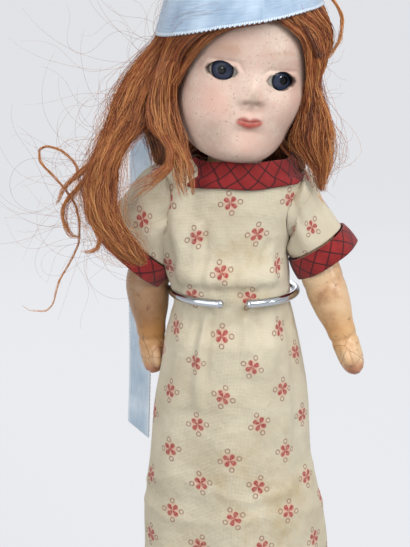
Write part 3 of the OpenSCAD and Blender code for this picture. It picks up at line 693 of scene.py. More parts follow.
@dataclass(frozen=True)
class Mottled(Finish):
    """A dull hidden material with patches, grain and a rough surface."""

    name: str
    light: str
    dark: str
    patch: float
    grain: float
    stretch: tuple[float, float, float] = (1.0, 1.0, 1.0)
    rough: float = 0.8
    relief: float = 0.15

    def draw(self, add: Adder) -> dict[str, Any]:
        """Draws the material's patches and grain.

        Args:
            add: adds a node to the material.

        Returns:
            Values and links for the shader's inputs.
        """
        place = add("TexCoord").outputs["Object"]
        drawn = add("Mapping", {"Vector": place, "Scale": self.stretch})
        patch, grain = (add("TexNoise", {"Vector": drawn, "Scale": 1 / (size * MM), "Detail": detail})
                        for size, detail in ((self.patch, 6.0), (self.grain, 3.0)))
        both = add("Math", (grain, 0.5, patch), operation="MULTIPLY_ADD")
        return {"Base Color": self.tinted(add, linear(self.light), (both, 0.5, 1.0, self.dark)),
                "Roughness": self.rough,
                "Normal": add("Bump", {"Height": grain, "Strength": 0.5, "Distance": self.relief * MM})}


@dataclass(frozen=True)
class PaintedCardboard(Finish):
    """Pressed cardboard, primed, painted in flesh colour and rubbed by handling."""

    # Thin matt paint over pulp board: warm pink, freckled with dark specks where it has flaked,
    # greyed on the high places, with lips and brows that have faded into it, grey dust low on the cheeks,
    # and painted shade on the forehead under the ribbon
    name: str = "cardboard_pressed_and_painted"
    flesh: str = "#d0af9f"
    warm: str = "#d5a595"
    pale: str = "#dcc6b5"
    lip: str = "#8a1608"
    lip_light: str = "#a82813"
    brow: str = "#b48869"
    wear: str = "#87785c"
    # Grey of the dust on the cheeks, also laid as painted shade on the forehead under the ribbon
    grime_and_shade: str = "#9b9280"
    rim: str = "#3a2620"
    speck: str = "#6f5346"
    blotch: float = 11.0
    ragged: float = 1.5
    freckle: float = 1.2
    pulp: float = 0.7

    def draw(self, add: Adder) -> dict[str, Any]:
        """Draws paint patches, lips, brows, wear, specks and the board's grain.

        Args:
            add: adds a node to the material.

        Returns:
            Values and links for the shader's inputs.
        """
        place = add("TexCoord").outputs["Object"]
        blotch, ragged, fleck, grain = (
            add("TexNoise", {"Vector": place, "Scale": 1 / (size * MM), "Detail": detail, "Roughness": rough})
            for size, detail, rough in ((self.blotch, 5.0, 0.6), (self.ragged, 4.0, 0.5), (self.freckle, 2.0, 0.7),
                                        (self.pulp, 4.0, 0.5)))
        colour = self.tinted(add, linear(self.flesh), (blotch, 0.38, 0.64, self.pale))
        # Mark on the shell, tint, strength, and how ragged its edge is. The grey mark holds dust on the cheeks and
        # painted shade on the forehead
        for mark, tint, strength, edge in (("blush", self.warm, 0.7, 0.0), ("brow", self.brow, 0.8, 0.5),
                                           ("wear", self.wear, 0.75, 0.7), ("grime_and_shade", self.grime_and_shade, 0.7, 0.7),
                                           ("lower_lip", self.lip_light, 1.0, 0.2), ("upper_lip", self.lip, 1.0, 0.2),
                                           ("rim", self.rim, 0.92, 0.15)):
            amount = add("Attribute", attribute_name=mark).outputs["Fac"]
            for share in (add("MapRange", (ragged, 0.3, 0.7, 1 - edge)), strength):
                amount = add("Math", (amount, share), operation="MULTIPLY")
            colour = self.tinted(add, colour, (amount, tint))
        stray = add("Math", (blotch, 0.35, fleck), operation="MULTIPLY_ADD")
        colour = self.tinted(add, colour, (ragged, 0.46, 0.72, 0.34, self.warm), (stray, 0.81, 0.93, 0.55, self.speck))
        dents = add("Math", (blotch, 1.6, grain), operation="MULTIPLY_ADD")
        return {"Base Color": colour, "Roughness": add("MapRange", (blotch, 0.0, 1.0, 0.42, 0.62)),
                "Normal": add("Bump", {"Height": dents, "Strength": 0.5, "Distance": 0.2 * MM})}


@dataclass(frozen=True)
class DippedComposition(Finish):
    """Sawdust composition, moulded and dipped in flesh paint that has yellowed and crazed."""

    # A thick waxy dip: soft gloss, tan with brown dirt in patches and fine dark cracks, and painted shade that darkens
    # the right arm
    name: str = "composition_moulded_and_dipped"
    flesh: str = "#d0a981"
    pale: str = "#d9bd98"
    dirt: str = "#9c6b45"
    crack: str = "#5d3b26"
    rosy: str = "#b9654d"
    shade_tint: str = "#7d5536"
    wax: str = "#c98e48"
    patch: float = 13.0
    craze: float = 9.0
    fleck: float = 2.6

    def draw(self, add: Adder) -> dict[str, Any]:
        """Draws the dip's patches, cracks and gloss.

        Args:
            add: adds a node to the material.

        Returns:
            Values and links for the shader's inputs.
        """
        place = add("TexCoord").outputs["Object"]
        patch, fleck = (
            add("TexNoise", {"Vector": place, "Scale": 1 / (size * MM), "Detail": detail, "Roughness": rough})
            for size, detail, rough in ((self.patch, 6.0, 0.62), (self.fleck, 2.0, 0.7)))
        cells = add("TexVoronoi", {"Vector": place, "Scale": 1 / (self.craze * MM)}, feature="DISTANCE_TO_EDGE")
        line = add("MapRange", (cells, 0.02, 0.004, 0.0, 0.55))
        # One mark is painted shade: it darkens the right arm, which hangs in the shade of the hair and sleeve
        shaded, waxed, tips, cracked = (add("Attribute", attribute_name=mark).outputs["Fac"]
                                        for mark in ("shaded", "waxed", "tips", "cracked"))
        cracks = add("Math", (line, cracked), operation="MULTIPLY")
        colour = self.tinted(
            add, linear(self.flesh), (patch, 0.48, 0.68, self.pale), (patch, 0.5, 0.3, 0.85, self.dirt),
            (shaded, self.shade_tint),
            (waxed, self.wax), (tips, self.rosy), (cracks, self.crack), (fleck, 0.63, 0.72, 0.6, self.crack))
        height = add("Math", (cracks, -1.0, patch), operation="MULTIPLY_ADD")
        return {"Base Color": colour, "Roughness": add("MapRange", (patch, 0.0, 1.0, 0.2, 0.45)),
                "Normal": add("Bump", {"Height": height, "Strength": 0.4, "Distance": 0.3 * MM})}


@dataclass(frozen=True)
class BlownGlassEye(Finish):
    """Blown glass eye with a slate-blue iris under a clear dome."""

    # Clear glass over colour: deep dark iris with a bright pinpoint, greyed white round it
    name: str = "glass_blown_eye"
    white: str = "#c6bfb5"
    iris: str = "#4a546e"
    rim: str = "#0d1019"
    pupil: str = "#030405"
    iris_r: float = 4.3
    pupil_r: float = 1.7

    def draw(self, add: Adder) -> dict[str, Any]:
        """Draws white, iris, spokes, rim and pupil by the distance from the eye's axis.

        Args:
            add: adds a node to the material.

        Returns:
            Values and links for the shader's inputs.
        """
        away, turn = (add("Attribute", attribute_name=mark).outputs["Fac"] for mark in ("away", "turn"))
        spokes = add("TexNoise", {"W": turn, "Scale": 30.0, "Detail": 3.0}, noise_dimensions="1D")
        lit = add("MapRange", (spokes, 0.35, 0.7, 0.15, 0.85))
        colour = self.tinted(
            add, linear(self.rim), (lit, self.iris), (away, self.pupil_r + 0.25, self.pupil_r - 0.2, self.pupil),
            (away, self.iris_r - 0.9, self.iris_r - 0.2, self.rim),
            (away, self.iris_r - 0.1, self.iris_r + 0.3, self.white))
        return {"Base Color": colour, "Roughness": 0.05, "Specular IOR Level": 0.2}


@dataclass(frozen=True)
class DyedMohair(Finish):
    """Mohair, dyed auburn and set in waves."""

    # Fine lustrous hairs: each has its own shade, dark at the roots, lighter and redder at the tips
    name: str = "mohair_dyed_and_waved"
    dark: str = "#421d10"
    middle: str = "#a6562a"
    light: str = "#dd9c5c"
    rough: float = 0.42

    def draw(self, add: Adder) -> dict[str, Any]:
        """Draws the shade of each hair and its change from root to tip.

        Args:
            add: adds a node to the material.

        Returns:
            Values and links for the shader's inputs.
        """
        tone, along = (add("Attribute", attribute_name=mark).outputs["Fac"] for mark in ("tone", "length"))
        shade = add("Math", (tone, add("MapRange", (along, 0.0, 1.0, -0.1, 0.16))), operation="ADD")
        colour = self.tinted(add, linear(self.dark), (shade, 0.0, 0.55, self.middle), (shade, 0.5, 1.1, self.light))
        return {"Base Color": colour, "Roughness": self.rough, "Specular IOR Level": 0.55}


@dataclass(frozen=True)
class MohairUnderlayer(Finish):
    """The hair under the visible strands, coloured darker than them as painted shade."""

    # Hairs packed too close to part: painted shade for the inside of the hair, with dark streaks running down the head
    name: str = "mohair_underlayer_painted_shade"
    dark: str = "#452716"
    light: str = "#7a4725"
    streak: float = 1.4

    def draw(self, add: Adder) -> dict[str, Any]:
        """Draws streaks that run down the hair.

        Args:
            add: adds a node to the material.

        Returns:
            Values and links for the shader's inputs.
        """
        drawn = add("Mapping", {"Vector": add("TexCoord").outputs["Object"], "Scale": (1.0, 1.0, 0.06)})
        streak = add("TexNoise", {"Vector": drawn, "Scale": 1 / (self.streak * MM), "Detail": 4.0})
        return {"Base Color": self.tinted(add, linear(self.dark), (streak, 0.35, 0.7, self.light)), "Roughness": 0.55,
                "Normal": add("Bump", {"Height": streak, "Strength": 0.8, "Distance": 0.4 * MM})}


@dataclass(frozen=True)
class WovenSatin(Finish):
    """Viscose satin ribbon, woven with a picot edge."""

    # Long floating threads lie along the ribbon, so it shines in soft bands across its folds. The threads are
    # drawn coarser than the real 0.1 mm, so that they show
    name: str = "viscose_woven_satin"
    body: str = "#8299b2"
    pale: str = "#b2c5d8"
    edge: str = "#e3eaf0"
    thread: float = 0.45
    stitch: float = 0.42

    def draw(self, add: Adder) -> dict[str, Any]:
        """Draws the warp threads and the stitched edge.

        Args:
            add: adds a node to the material.

        Returns:
            Values and links for the shader's inputs.
        """
        flat = add("UVMap", uv_map=CLOTH_MAP)
        drawn = add("Mapping", {"Vector": flat, "Scale": (1 / self.thread, 0.05 / self.thread, 1.0)})
        thread = add("TexNoise", {"Vector": drawn, "Scale": 1.0, "Detail": 2.0})
        shade = add("TexNoise", {"Vector": flat, "Scale": 0.09, "Detail": 3.0})
        both = add("Math", (thread, 0.5, shade), operation="MULTIPLY_ADD")
        across, along = add("SeparateXYZ", (flat,)).outputs[:2]
        border = add("MapRange", (add("Math", (across,), operation="ABSOLUTE"), 4.55, 4.9, 0.0, 0.75))
        stitch = add("MapRange", (add("Math", (along, self.stitch), operation="PINGPONG"), 0.1, 0.2))
        edged = add("Math", (border, stitch), operation="MULTIPLY")
        return {"Base Color": self.tinted(add, linear(self.body), (both, 0.5, 1.0, self.pale), (edged, self.edge)),
                "Roughness": 0.27, "Anisotropic": 0.5, "Sheen Weight": 0.25,
                "Normal": add("Bump", {"Height": thread, "Strength": 0.25, "Distance": 0.08 * MM})}


@dataclass(frozen=True)
class PrintedCalico(Finish):
    """Cotton calico, roller-printed with small red flowers, yellowed and stained."""

    # Plain-woven cotton gone ecru: matt, with ochre storage stains and print that has bled a little. The threads
    # are drawn coarser than the real 0.3 mm, so that they show
    name: str = "cotton_calico_roller_printed"
    ecru: str = "#d6ccb4"
    worn: str = "#c8bca2"
    stain: str = "#b99f6f"
    petal: str = "#a22a2e"
    bled: str = "#d6a08f"
    ring: str = "#8e5a4e"
    shadow: str = "#9a8f7c"
    repeat: float = 12.5
    drift: float = 2.4
    turn: float = 0.42
    petal_at: float = 1.55
    petal_long: float = 1.45
    petal_wide: float = 0.84
    ring_at: float = 3.9
    ring_r: float = 0.88
    ring_line: float = 0.22
    thread: float = 0.55
    age: float = 24.0
    blot: float = 31.0
    wrinkle: float = 11.0

    def draw(self, add: Adder) -> dict[str, Any]:
        """Draws the aged ground, the flower repeat and the weave.

        Args:
            add: adds a node to the material.

        Returns:
            Values and links for the shader's inputs.
        """
        flat = add("UVMap", uv_map=CLOTH_MAP)
        place = add("TexCoord").outputs["Object"]
        moved = add("Mapping", {"Vector": place, "Location": (0.31, 0.17, 0.05)})
        aged, stained, wrinkle = (
            add("TexNoise", {"Vector": at, "Scale": 1 / (size * MM), "Detail": detail, "Roughness": rough})
            for at, size, detail, rough in ((place, self.age, 6.0, 0.6), (moved, self.blot, 7.0, 0.68),
                                            (place, self.wrinkle, 5.0, 0.5)))
        ground = self.tinted(add, linear(self.ecru), (aged, 0.4, 0.66, self.worn),
                             (stained, 0.54, 0.7, 0.6, self.stain))
        colour = self.print_flowers(add, flat, ground)
        weave = add("Math", [
            add("TexWave", {"Vector": flat, "Scale": WAVE / self.thread, "Distortion": 1.2},
                bands_direction=way).outputs["Fac"]
            for way in "XY"], operation="MULTIPLY")
        dim = add("MapRange", (weave, 0.0, 1.0, 0.0, 0.16))
        colour = add("Mix", {0: dim, 6: colour, 7: linear(self.shadow)}, data_type="RGBA", blend_type="MULTIPLY")
        height = add("Math", (wrinkle, 14.0, weave), operation="MULTIPLY_ADD")
        return {"Base Color": colour, "Roughness": 0.92, "Specular IOR Level": 0.2, "Sheen Weight": 0.15,
                "Normal": add("Bump", {"Height": height, "Strength": 0.7, "Distance": 0.2 * MM})}

    def print_flowers(self, add: Adder, flat: Node, ground: Node) -> Node:
        """Prints a flower of four petals and four rings at each place of a diamond repeat.

        Args:
            add: adds a node to the material.
            flat: cloth coordinates in millimetres.
            ground: colour of the unprinted cloth.

        Returns:
            The printed colour.
        """
        half = 0.5 / self.repeat
        folded, cell = [], []
        for sign in (1, -1):
            along = add("VectorMath", (flat, (half, sign * half, 0)), operation="DOT_PRODUCT")
            folded.append(add("Math", (along, 0.5, -0.5), operation="WRAP"))
            cell.append(add("Math", (along,), operation="ROUND"))
        chance = add("TexWhiteNoise", {"Vector": add("CombineXYZ", cell)}, noise_dimensions="2D").outputs
        place = add("CombineXYZ", [add("Math", (add("Math", folded, operation=way), self.repeat), operation="MULTIPLY")
                                   for way in ("ADD", "SUBTRACT")])
        drift = (self.drift, self.drift, 0), (-self.drift / 2, -self.drift / 2, 0)
        shift = add("VectorMath", (chance["Color"], *drift), operation="MULTIPLY_ADD")
        angle = add("MapRange", (chance["Value"], 0.0, 1.0, -self.turn, self.turn))
        place = add("VectorMath", (place, shift), operation="ADD")
        place = add("VectorRotate", {"Vector": place, "Angle": angle}, rotation_type="Z_AXIS")
        place = add("VectorMath", (place,), operation="ABSOLUTE")
        sides = add("SeparateXYZ", (place,)).outputs[:2]
        turned = add("Mapping", {"Vector": place, "Rotation": (0, 0, -math.pi / 4), "Location": (-self.petal_at, 0, 0)},
                     vector_type="POINT")
        out, aside = add("SeparateXYZ", (turned,)).outputs[:2]
        wide = add("Math", (out, 0.3, self.petal_wide), operation="MULTIPLY_ADD")
        wide = add("Math", (wide, 0.2), operation="MAXIMUM")
        in_petal = add("CombineXYZ", [add("Math", pair, operation="DIVIDE")
                                      for pair in ((aside, wide), (out, self.petal_long))])
        far = add("Math", (add("Math", sides, operation="MAXIMUM"), self.ring_at), operation="SUBTRACT")
        in_ring = add("CombineXYZ", (far, add("Math", sides, operation="MINIMUM")))
        petal, middle, ring = (add("VectorMath", (at,), operation="LENGTH") for at in (in_petal, place, in_ring))
        ring = add("Math", (add("Math", (ring, self.ring_r), operation="SUBTRACT"),), operation="ABSOLUTE")
        rubbed = add("MapRange", (add("TexNoise", {"Vector": flat, "Scale": 0.9, "Detail": 3.0}), 0.3, 0.62, 0.55))
        for value, start, end, most, tint in ((middle, 3.7, 2.0, 0.7, self.bled),
                                              (ring, self.ring_line + 0.14, self.ring_line - 0.1, 0.85, self.ring),
                                              (petal, 1.12, 0.86, 0.93, self.petal)):
            share = add("MapRange", (value, start, end, 0.0, most), interpolation_type="SMOOTHSTEP")
            ground = self.tinted(add, ground, (add("Math", (share, rubbed), operation="MULTIPLY"), tint))
        return ground


@dataclass(frozen=True)
class BiasPlaid(Finish):
    """Cotton plaid, yarn-dyed and cut on the bias for trimming."""

    # Dull red twill crossed by dark yarns, which stand as a lattice of diamonds on the bias
    name: str = "cotton_plaid_yarn_dyed"
    red: str = "#932628"
    deep: str = "#781b1b"
    yarn: str = "#2b1213"
    fade: float = 6.0
    pitch: float = 5.0
    line: float = 0.25
    thread: float = 0.6

    def draw(self, add: Adder) -> dict[str, Any]:
        """Draws the ground, the two sets of dark yarns and the twill.

        Args:
            add: adds a node to the material.

        Returns:
            Values and links for the shader's inputs.
        """
        flat = add("UVMap", uv_map=CLOTH_MAP)
        faded = add("TexNoise", {"Vector": add("TexCoord").outputs["Object"], "Scale": 1 / (self.fade * MM),
                                 "Detail": 5.0})
        colour = self.tinted(add, linear(self.deep), (faded, 0.35, 0.7, self.red))
        across = math.sqrt(0.5) / self.pitch
        for sign in (1, -1):
            along = add("VectorMath", (flat, (across, sign * across, 0)), operation="DOT_PRODUCT")
            away = add("Math", (add("Math", (along, 0.5, -0.5), operation="WRAP"),), operation="ABSOLUTE")
            limits = (self.line + 0.2) / self.pitch, (self.line - 0.12) / self.pitch
            colour = self.tinted(add, colour, (away, *limits, 0.85, self.yarn))
        twill = add("TexWave", {"Vector": flat, "Scale": WAVE / self.thread, "Distortion": 0.8},
                    bands_direction="DIAGONAL")
        return {"Base Color": colour, "Roughness": 0.85, "Specular IOR Level": 0.25, "Sheen Weight": 0.2,
                "Normal": add("Bump", {"Height": twill.outputs["Fac"], "Strength": 0.45, "Distance": 0.1 * MM})}


CHROME = ChromedSteel()
FACE = PaintedCardboard()
COMPOSITION = DippedComposition()
EYE_GLASS = BlownGlassEye()
MOHAIR = DyedMohair()
# Underlayer of the crown and the falls: painted shade for the inside of the hair
MOHAIR_SHADE_FILL = MohairUnderlayer()
SATIN = WovenSatin()
# The same satin painted paler for the tails: painted light, for the light that one layer hanging free lets through
SATIN_PAINTED_LIGHT = WovenSatin("viscose_woven_satin_painted_light", body="#a2b6ca", pale="#cfdde9")
CALICO = PrintedCalico()
PLAID = BiasPlaid()
# Cast plaster: chalky white with trowel marks
PLASTER = Mottled("plaster_cast", "#ded9cd", "#c2bbab", 9.0, 0.6, rough=0.9)
# Turned beech: straight warm grain with short flecks
BEECH = Mottled("beech_turned", "#c9a674", "#9f7746", 5.0, 0.5, stretch=(1.0, 1.0, 0.12), rough=0.6)
# Grey-brown pulp board, pressed while wet: fibres and dents, kept dark as painted shade where the torso shows in the
# gap under the chin
PULP_BOARD = Mottled("pulp_board_pressed", "#7c6c58", "#574a3c", 7.0, 0.7, rough=0.85)
# Stiffened open net: brown threads, matt
BUCKRAM = Mottled("cotton_buckram_net", "#5f3d26", "#3c2517", 1.6, 0.8, rough=0.9, relief=0.3)
# Cotton braid over rubber: fine slanting rib, grubby white
ELASTIC = Mottled("elastic_cotton_braided", "#d9d3c4", "#a59c88", 0.9, 0.5, rough=0.85, relief=0.3)


# Head


@dataclass
class Head:
    """Pressed cardboard head with set glass eyes, on the strung neck ball."""

    neck: tuple[float, float, float] = (0.0, 2.0, 277.0)
    width: float = 50.0
    front: float = 27.8
    back: float = 28.0
    face_len: float = 33.0
    skull_up: float = 35.0
    eye_up: float = 38.6
    wall: float = 2.4
    neck_ball_d: float = 22.0
    eye_out: float = 11.6
    eye_w: float = 12.8
    eye_h: float = 7.4
    eye_d: float = 13.6
    eye_turn: float = 24.0
    eye_sink: float = 0.5
    gazes: tuple[float, float] = (2.0, -0.2)
    iris_widths: tuple[float, float] = (1.22, 1.05)
    nose_out: float = 3.5
    nose_at: float = -0.24
    mouth_at: float = -0.52
    chin_at: float = -0.82
    roll: float = 6.5
    yaw: float = 5.5
    roundness: float = 0.92
    crown_z: float = 28.0
    # Share of the height, then width, front and back at that height
    levels: Table = (
        (-1.00, 0.44, 0.66, 0.46), (-0.95, 0.60, 0.86, 0.57), (-0.84, 0.745, 0.955, 0.71), (-0.75, 0.815, 0.97, 0.775),
        (-0.65, 0.87, 0.975, 0.835), (-0.52, 0.925, 0.985, 0.90), (-0.37, 0.968, 0.985, 0.95),
        (-0.265, 0.985, 0.985, 0.97),
        (-0.08, 1, 0.985, 0.995), (0.06, 1, 0.988, 1), (0.2, 0.998, 0.998, 1), (0.34, 0.985, 0.998, 0.99),
        (0.48, 0.948, 0.97, 0.955), (0.62, 0.88, 0.91, 0.89), (0.72, 0.80, 0.83, 0.81), (0.80, 0.71, 0.74, 0.72),
        (0.88, 0.57, 0.59, 0.58), (0.94, 0.41, 0.43, 0.42), (0.98, 0.23, 0.24, 0.235), (1.0, 0.05, 0.05, 0.05))

    def height(self, u: Array) -> Array:
        """Height above the eye line for a share of the face or skull."""
        return u * np.where(np.asarray(u) < 0, self.face_len, self.skull_up)

    def part_of(self, z: Array) -> Array:
        """Share of the face or skull for a height above the eye line."""
        return z / np.where(np.asarray(z) < 0, self.face_len, self.skull_up)

    def share(self, z: Array, column: int) -> Array:
        """Width, front or back at a height, as a share of the largest."""
        table = np.array(self.levels)
        return level_curve(table[:, 0], table[:, column], self.part_of(z))

    def lid_gap(self, x: Array, z: Array) -> Array:
        """Distance outside the almond edge of an eye opening, negative inside it."""
        out, up = self.eye_place(x)
        return self.almond((np.abs(x) - out) / cosd(self.eye_turn), z - up)

    @property
    def lid_r(self) -> float:
        """Radius of the two arcs that make the almond of an eye opening."""
        return (self.eye_w ** 2 + self.eye_h ** 2) / (4 * self.eye_h)

    def almond(self, e: Array, h: Array) -> Array:
        """Distance outside an almond of the eye's width and height, negative inside it."""
        arc = np.hypot(e, np.abs(h) + self.lid_r - self.eye_h / 2) - self.lid_r
        return np.maximum(arc, np.hypot(np.maximum(np.abs(e) - self.eye_w / 2, 0), h) - 0.2 * self.eye_h)

    def eye_place(self, x: Array) -> tuple[Array, Array]:
        """How far out and up the eye of a side is set, as the two are set unevenly."""
        left = np.asarray(x) > 0
        return np.where(left, self.eye_out - 0.6, self.eye_out + 0.8), np.where(left, -1.0, 0.8)

    def mouth_line(self, x: Array) -> Array:
        """Height of the closed lips' line, dipping at the middle and lifted at the corners."""
        return self.mouth_at * self.face_len + 0.35 * ease(np.abs(x) / 5.6) - 0.25 * bell(x, 1.2)

    def lips(self, x: Array, z: Array) -> tuple[Array, Array]:
        """Upper and lower lip.

        Args:
            x: place across the face.
            z: height above the eye line.

        Returns:
            The two lips' shares of paint.
        """
        line, side = self.mouth_line(x), np.abs(x)
        span = np.sqrt(clamp01(1 - (x / 5.7) ** 2))
        top = (1.15 * span + 0.7 * bell(side - 1.9, 1.3)) * ease((5.8 - side) / 2.2)
        low = 2.2 * span ** 1.3
        upper = ease((line + top - z) / 1.5 + 0.5) * ease((z - line) / 0.4 + 0.5)
        lower = ease((z - line + low) / 1.7 + 0.5) * ease((line - z) / 0.4 + 0.5)
        inside = ease((5.9 - side) / 1.6)
        return upper * inside, lower * inside

    def relief(self, x: Array, z: Array) -> Array:
        """How far the face stands out: nose, lips, chin, cheeks, lids and brows.

        Args:
            x: place across the face.
            z: height above the eye line.

        Returns:
            Height of the relief.
        """
        side = np.abs(x)
        nose_z, mouth_z, chin_z = (at * self.face_len for at in (self.nose_at, self.mouth_at, self.chin_at))
        upper, lower = self.lips(x, z)
        gap = self.lid_gap(x, z)
        nose = (self.nose_out * bell(x, mix(3.2, 2.4, clamp01((z - nose_z) / 8)))
                * bell(z - nose_z, np.where(z > nose_z, 4.8, 2.2)))
        wings = (0.6 * bell(side - 3.4, 1.2) * bell(z - nose_z + 0.9, 1.3)
                 - 0.9 * bell(side - 1.9, 0.7) * bell(z - nose_z + 2.5, 0.6))
        mouth = (1.5 * bell(x, 5) * bell(z - mouth_z, 2.5) - 0.6 * bell(side - 7.6, 1.7) * bell(z - mouth_z, 2.2)
                 + 0.3 * upper + 0.35 * lower - 0.35 * bell(z - self.mouth_line(x), 0.35) * ease((5.9 - side) / 1.5)
                 - 0.45 * bell(x, 1.0) * bell(z - mouth_z - 3.7, 1.1)
                 - 0.5 * bell(x, 3.5) * bell(z - mouth_z + 3.6, 0.9))
        chin = 1.6 * bell(x + 2.4, 5.5) * bell(z - chin_z, 3.6)
        cheeks = 1.1 * bell(side - 13.5, 5.5) * bell(z + 13, 6)
        out, up = self.eye_place(x)
        eyes = (-1.4 * bell(side - out, 5.5) * bell(z - up, 4.4) + 0.6 * bell(side - out, 6) * bell(z - 9.5, 3)
                + 0.4 * bell(gap - 0.8, 0.7) - 0.35 * bell(gap - 2.4, 0.5) * ease(z / 2))
        return nose + wings + mouth + chin + cheeks + eyes

    def point(self, angle: Array, z: Array) -> Array:
        """Point of the head's surface.

        Args:
            angle: degrees from the front, positive towards the left.
            z: height above the eye line.

        Returns:
            Points in the head's own frame, with the eye line on the neck axis at its origin.
        """
        angle, z = np.broadcast_arrays(np.asarray(angle, float), np.asarray(z, float))
        ahead = cosd(angle) > 0
        x = self.width / 2 * self.share(z, 1) * power(sind(angle), self.roundness)
        x = x - (2.5 * ease((-z - 6) / 16) * ease(cosd(angle) + 0.9) + 1.5 * bell(z + 8, 12) * clamp01(-sind(angle)))
        depth = np.where(ahead, self.front * self.share(z, 2), self.back * self.share(z, 3))
        y = -depth * power(cosd(angle), self.roundness)
        y = y - np.where(ahead, self.relief(x, z) * clamp01(3 * cosd(angle)), 0)
        return xyz(x, y, z - 1.5 * ease((-z - 19) / 13) * ease(cosd(angle)))

    def out(self, angle: Array, z: Array, grow: Array) -> Array:
        """The same surface let out by a thickness, level below the temples and outwards above them.

        Args:
            angle: degrees from the front.
            z: height above the eye line.
            grow: the thickness.

        Returns:
            Points in the head's own frame.
        """
        p = self.point(angle, z)
        lift = np.maximum(0, p[..., 2] - 0.15 * self.skull_up)
        return p + unit(xyz(p[..., 0], p[..., 1], lift)) * np.asarray(grow, float)[..., None]

    def angles(self, n: int) -> Array:
        """Angles round the head, closer together over the face."""
        a = ring_angles(n)
        return a - 33 * sind(a)

    def turn(self) -> Array:
        """Rotation from the head's frame to the part's.

        Returns:
            The rotation as a matrix.
        """
        c, s = cosd(self.yaw), sind(self.yaw)
        cr, sr = cosd(self.roll), sind(self.roll)
        return np.array([[cr, 0, sr], [0, 1, 0], [-sr, 0, cr]]) @ np.array([[c, -s, 0], [s, c, 0], [0, 0, 1]])

    def to_part(self, p: Array) -> Array:
        """Moves points from the head's frame to the part's."""
        return (p + np.array([0, 0, self.eye_up])) @ self.turn().T + np.array(self.neck)

    def from_part(self, p: Array) -> Array:
        """Moves points from the part's frame to the head's."""
        return (p - np.array(self.neck)) @ self.turn() - np.array([0, 0, self.eye_up])

    def eye_frame(self, side: Side) -> tuple[Array, Array]:
        """Where an eye sits and how it is turned.

        Args:
            side: which eye.

        Returns:
            The eye's centre, and its axes as columns, both in the head's frame.
        """
        angle = np.degrees(np.arcsin((self.eye_out / self.width * 2) ** (1 / self.roundness)))
        table = np.array(self.levels)
        depth = self.front * np.interp(0.0, table[:, 0], table[:, 2])
        y = (-depth * cosd(angle) ** self.roundness + 1.4 - 0.6 * bell(-9.5, 3)
             - 1.1 * bell(self.eye_out - 13.5, 5.5) * bell(13, 6))
        c, s = cosd(self.eye_turn), sind(self.eye_turn)
        out, up = self.eye_place(np.array(side.value))
        centre = np.array([out, y, up]) - (self.eye_d / 2 + self.eye_sink) * np.array([s, -c, 0])
        axes = np.array([[c, -s, 0], [s, c, 0], [0, 0, 1]])
        flip = np.diag(side.mirror)
        return flip @ centre, flip @ axes

    def build_shell(self) -> None:
        """Presses the shell, cuts the eye openings and marks where paint and wear lie."""
        angles = self.angles(190)
        rim_z, rim_r = 2.4 - self.eye_up, self.neck_ball_d / 2 - 0.4
        ring = xyz(sind(angles), -cosd(angles), 0)
        heights = np.concatenate([np.linspace(-1, -0.9, 10)[:-1] * 33, np.linspace(-29.7, 11, 100),
                                  np.linspace(11.6, self.crown_z, 18)])
        outer = self.point(angles[None, :], heights[:, None])
        lower = [ring * rim_r + [0, 0, rim_z + up] for up in (0, 0.8, 1.6)]
        inside = self.height(np.array([0.8, 0.62, 0.4, 0.2, 0.0, -0.2, -0.45, -0.75]))[:, None]
        inner = self.out(angles[None, :], inside, np.full((len(inside), len(angles)), -self.wall))
        inner[0, :, 2] = self.crown_z
        bore = [ring * (rim_r - self.wall) + [0, 0, rim_z + up] for up in (8, 0)]
        rings = np.concatenate([lower, outer, inner, bore])
        shell = make_piece("head_pressed_shell", loft(self.to_part(rings), close_rows=True), FACE)
        for side in Side:
            cut_away(shell, self.opening(side))
        self.mark_paint(shell)
        settle(shell, Body.HEAD, "cardboard", "head_shell")

    def opening(self, side: Side) -> Surface:
        """Almond prism of one eye opening.

        Args:
            side: which eye.

        Returns:
            The closed volume to cut away.
        """
        centre, axes = self.eye_frame(side)
        r = self.lid_r
        half = np.degrees(np.arcsin(self.eye_w / 2 / r))
        a = np.linspace(-half, half, 25)[:-1]
        top = xyz(r * sind(a), 0, r * cosd(a) - r + self.eye_h / 2)
        edge = np.concatenate([top, top * [-1, 1, -1]])
        rings = np.stack([edge - [0, y, 0] for y in (0.0, 4.0, 8.0, 13.6)])
        return loft(self.to_part(side.outwards(rings[:, ::-1]) @ axes.T + centre))

    def mark_paint(self, shell: Piece) -> None:
        """Marks lips, brows, blush, wear, and grime with painted shade on the shell.

        Args:
            shell: the head shell.
        """
        p = self.from_part(points_of(shell))
        x, z, face = p[:, 0], p[:, 2], ease(-p[:, 1] / 6)
        upper, lower = self.lips(x, z)
        side, right = np.abs(x), ease(-x / 4)
        gap = np.min([self.almond(*((p - centre) @ axes)[:, ::2].T)
                      for centre, axes in map(self.eye_frame, Side)], axis=0)
        arch = 8.6 + 1.3 * bell(side - 12, 4)
        set_marks(shell, {
            "upper_lip": upper * face, "lower_lip": lower * face,
            "brow": (face * bell(z - arch, mix(0.7, 1.7, right)) * mix(0.5, 0.85, right) * ease((side - 5) / 3)
                     * ease((18 - side) / 4)),
            "blush": face * (mix(0.3, 1.0, right) * bell(side - 13.5, 4.5) * bell(z + 12, 4.5)
                             + 0.5 * bell(x, 4) * bell(z + 27, 3)),
            "wear": face * (bell(x - 0.4, 1.5) * bell(z + 7.2, 1.6) + 0.4 * bell(x - 3.4, 1.2) * bell(z + 9.2, 1.0)),
            # Grey dust low on both cheeks, and painted shade on the forehead under the ribbon and hair
            "grime_and_shade": face * (bell(x + 12, 4.5) * bell(z + 24, 4.0) + 0.35 * bell(x - 16, 3.5) * bell(z + 22, 4)
                             + 0.4 * bell(x - 2, 9) * bell(z - 16, 4.5)),
            "rim": face * bell(np.maximum(gap, 0), 0.42)})

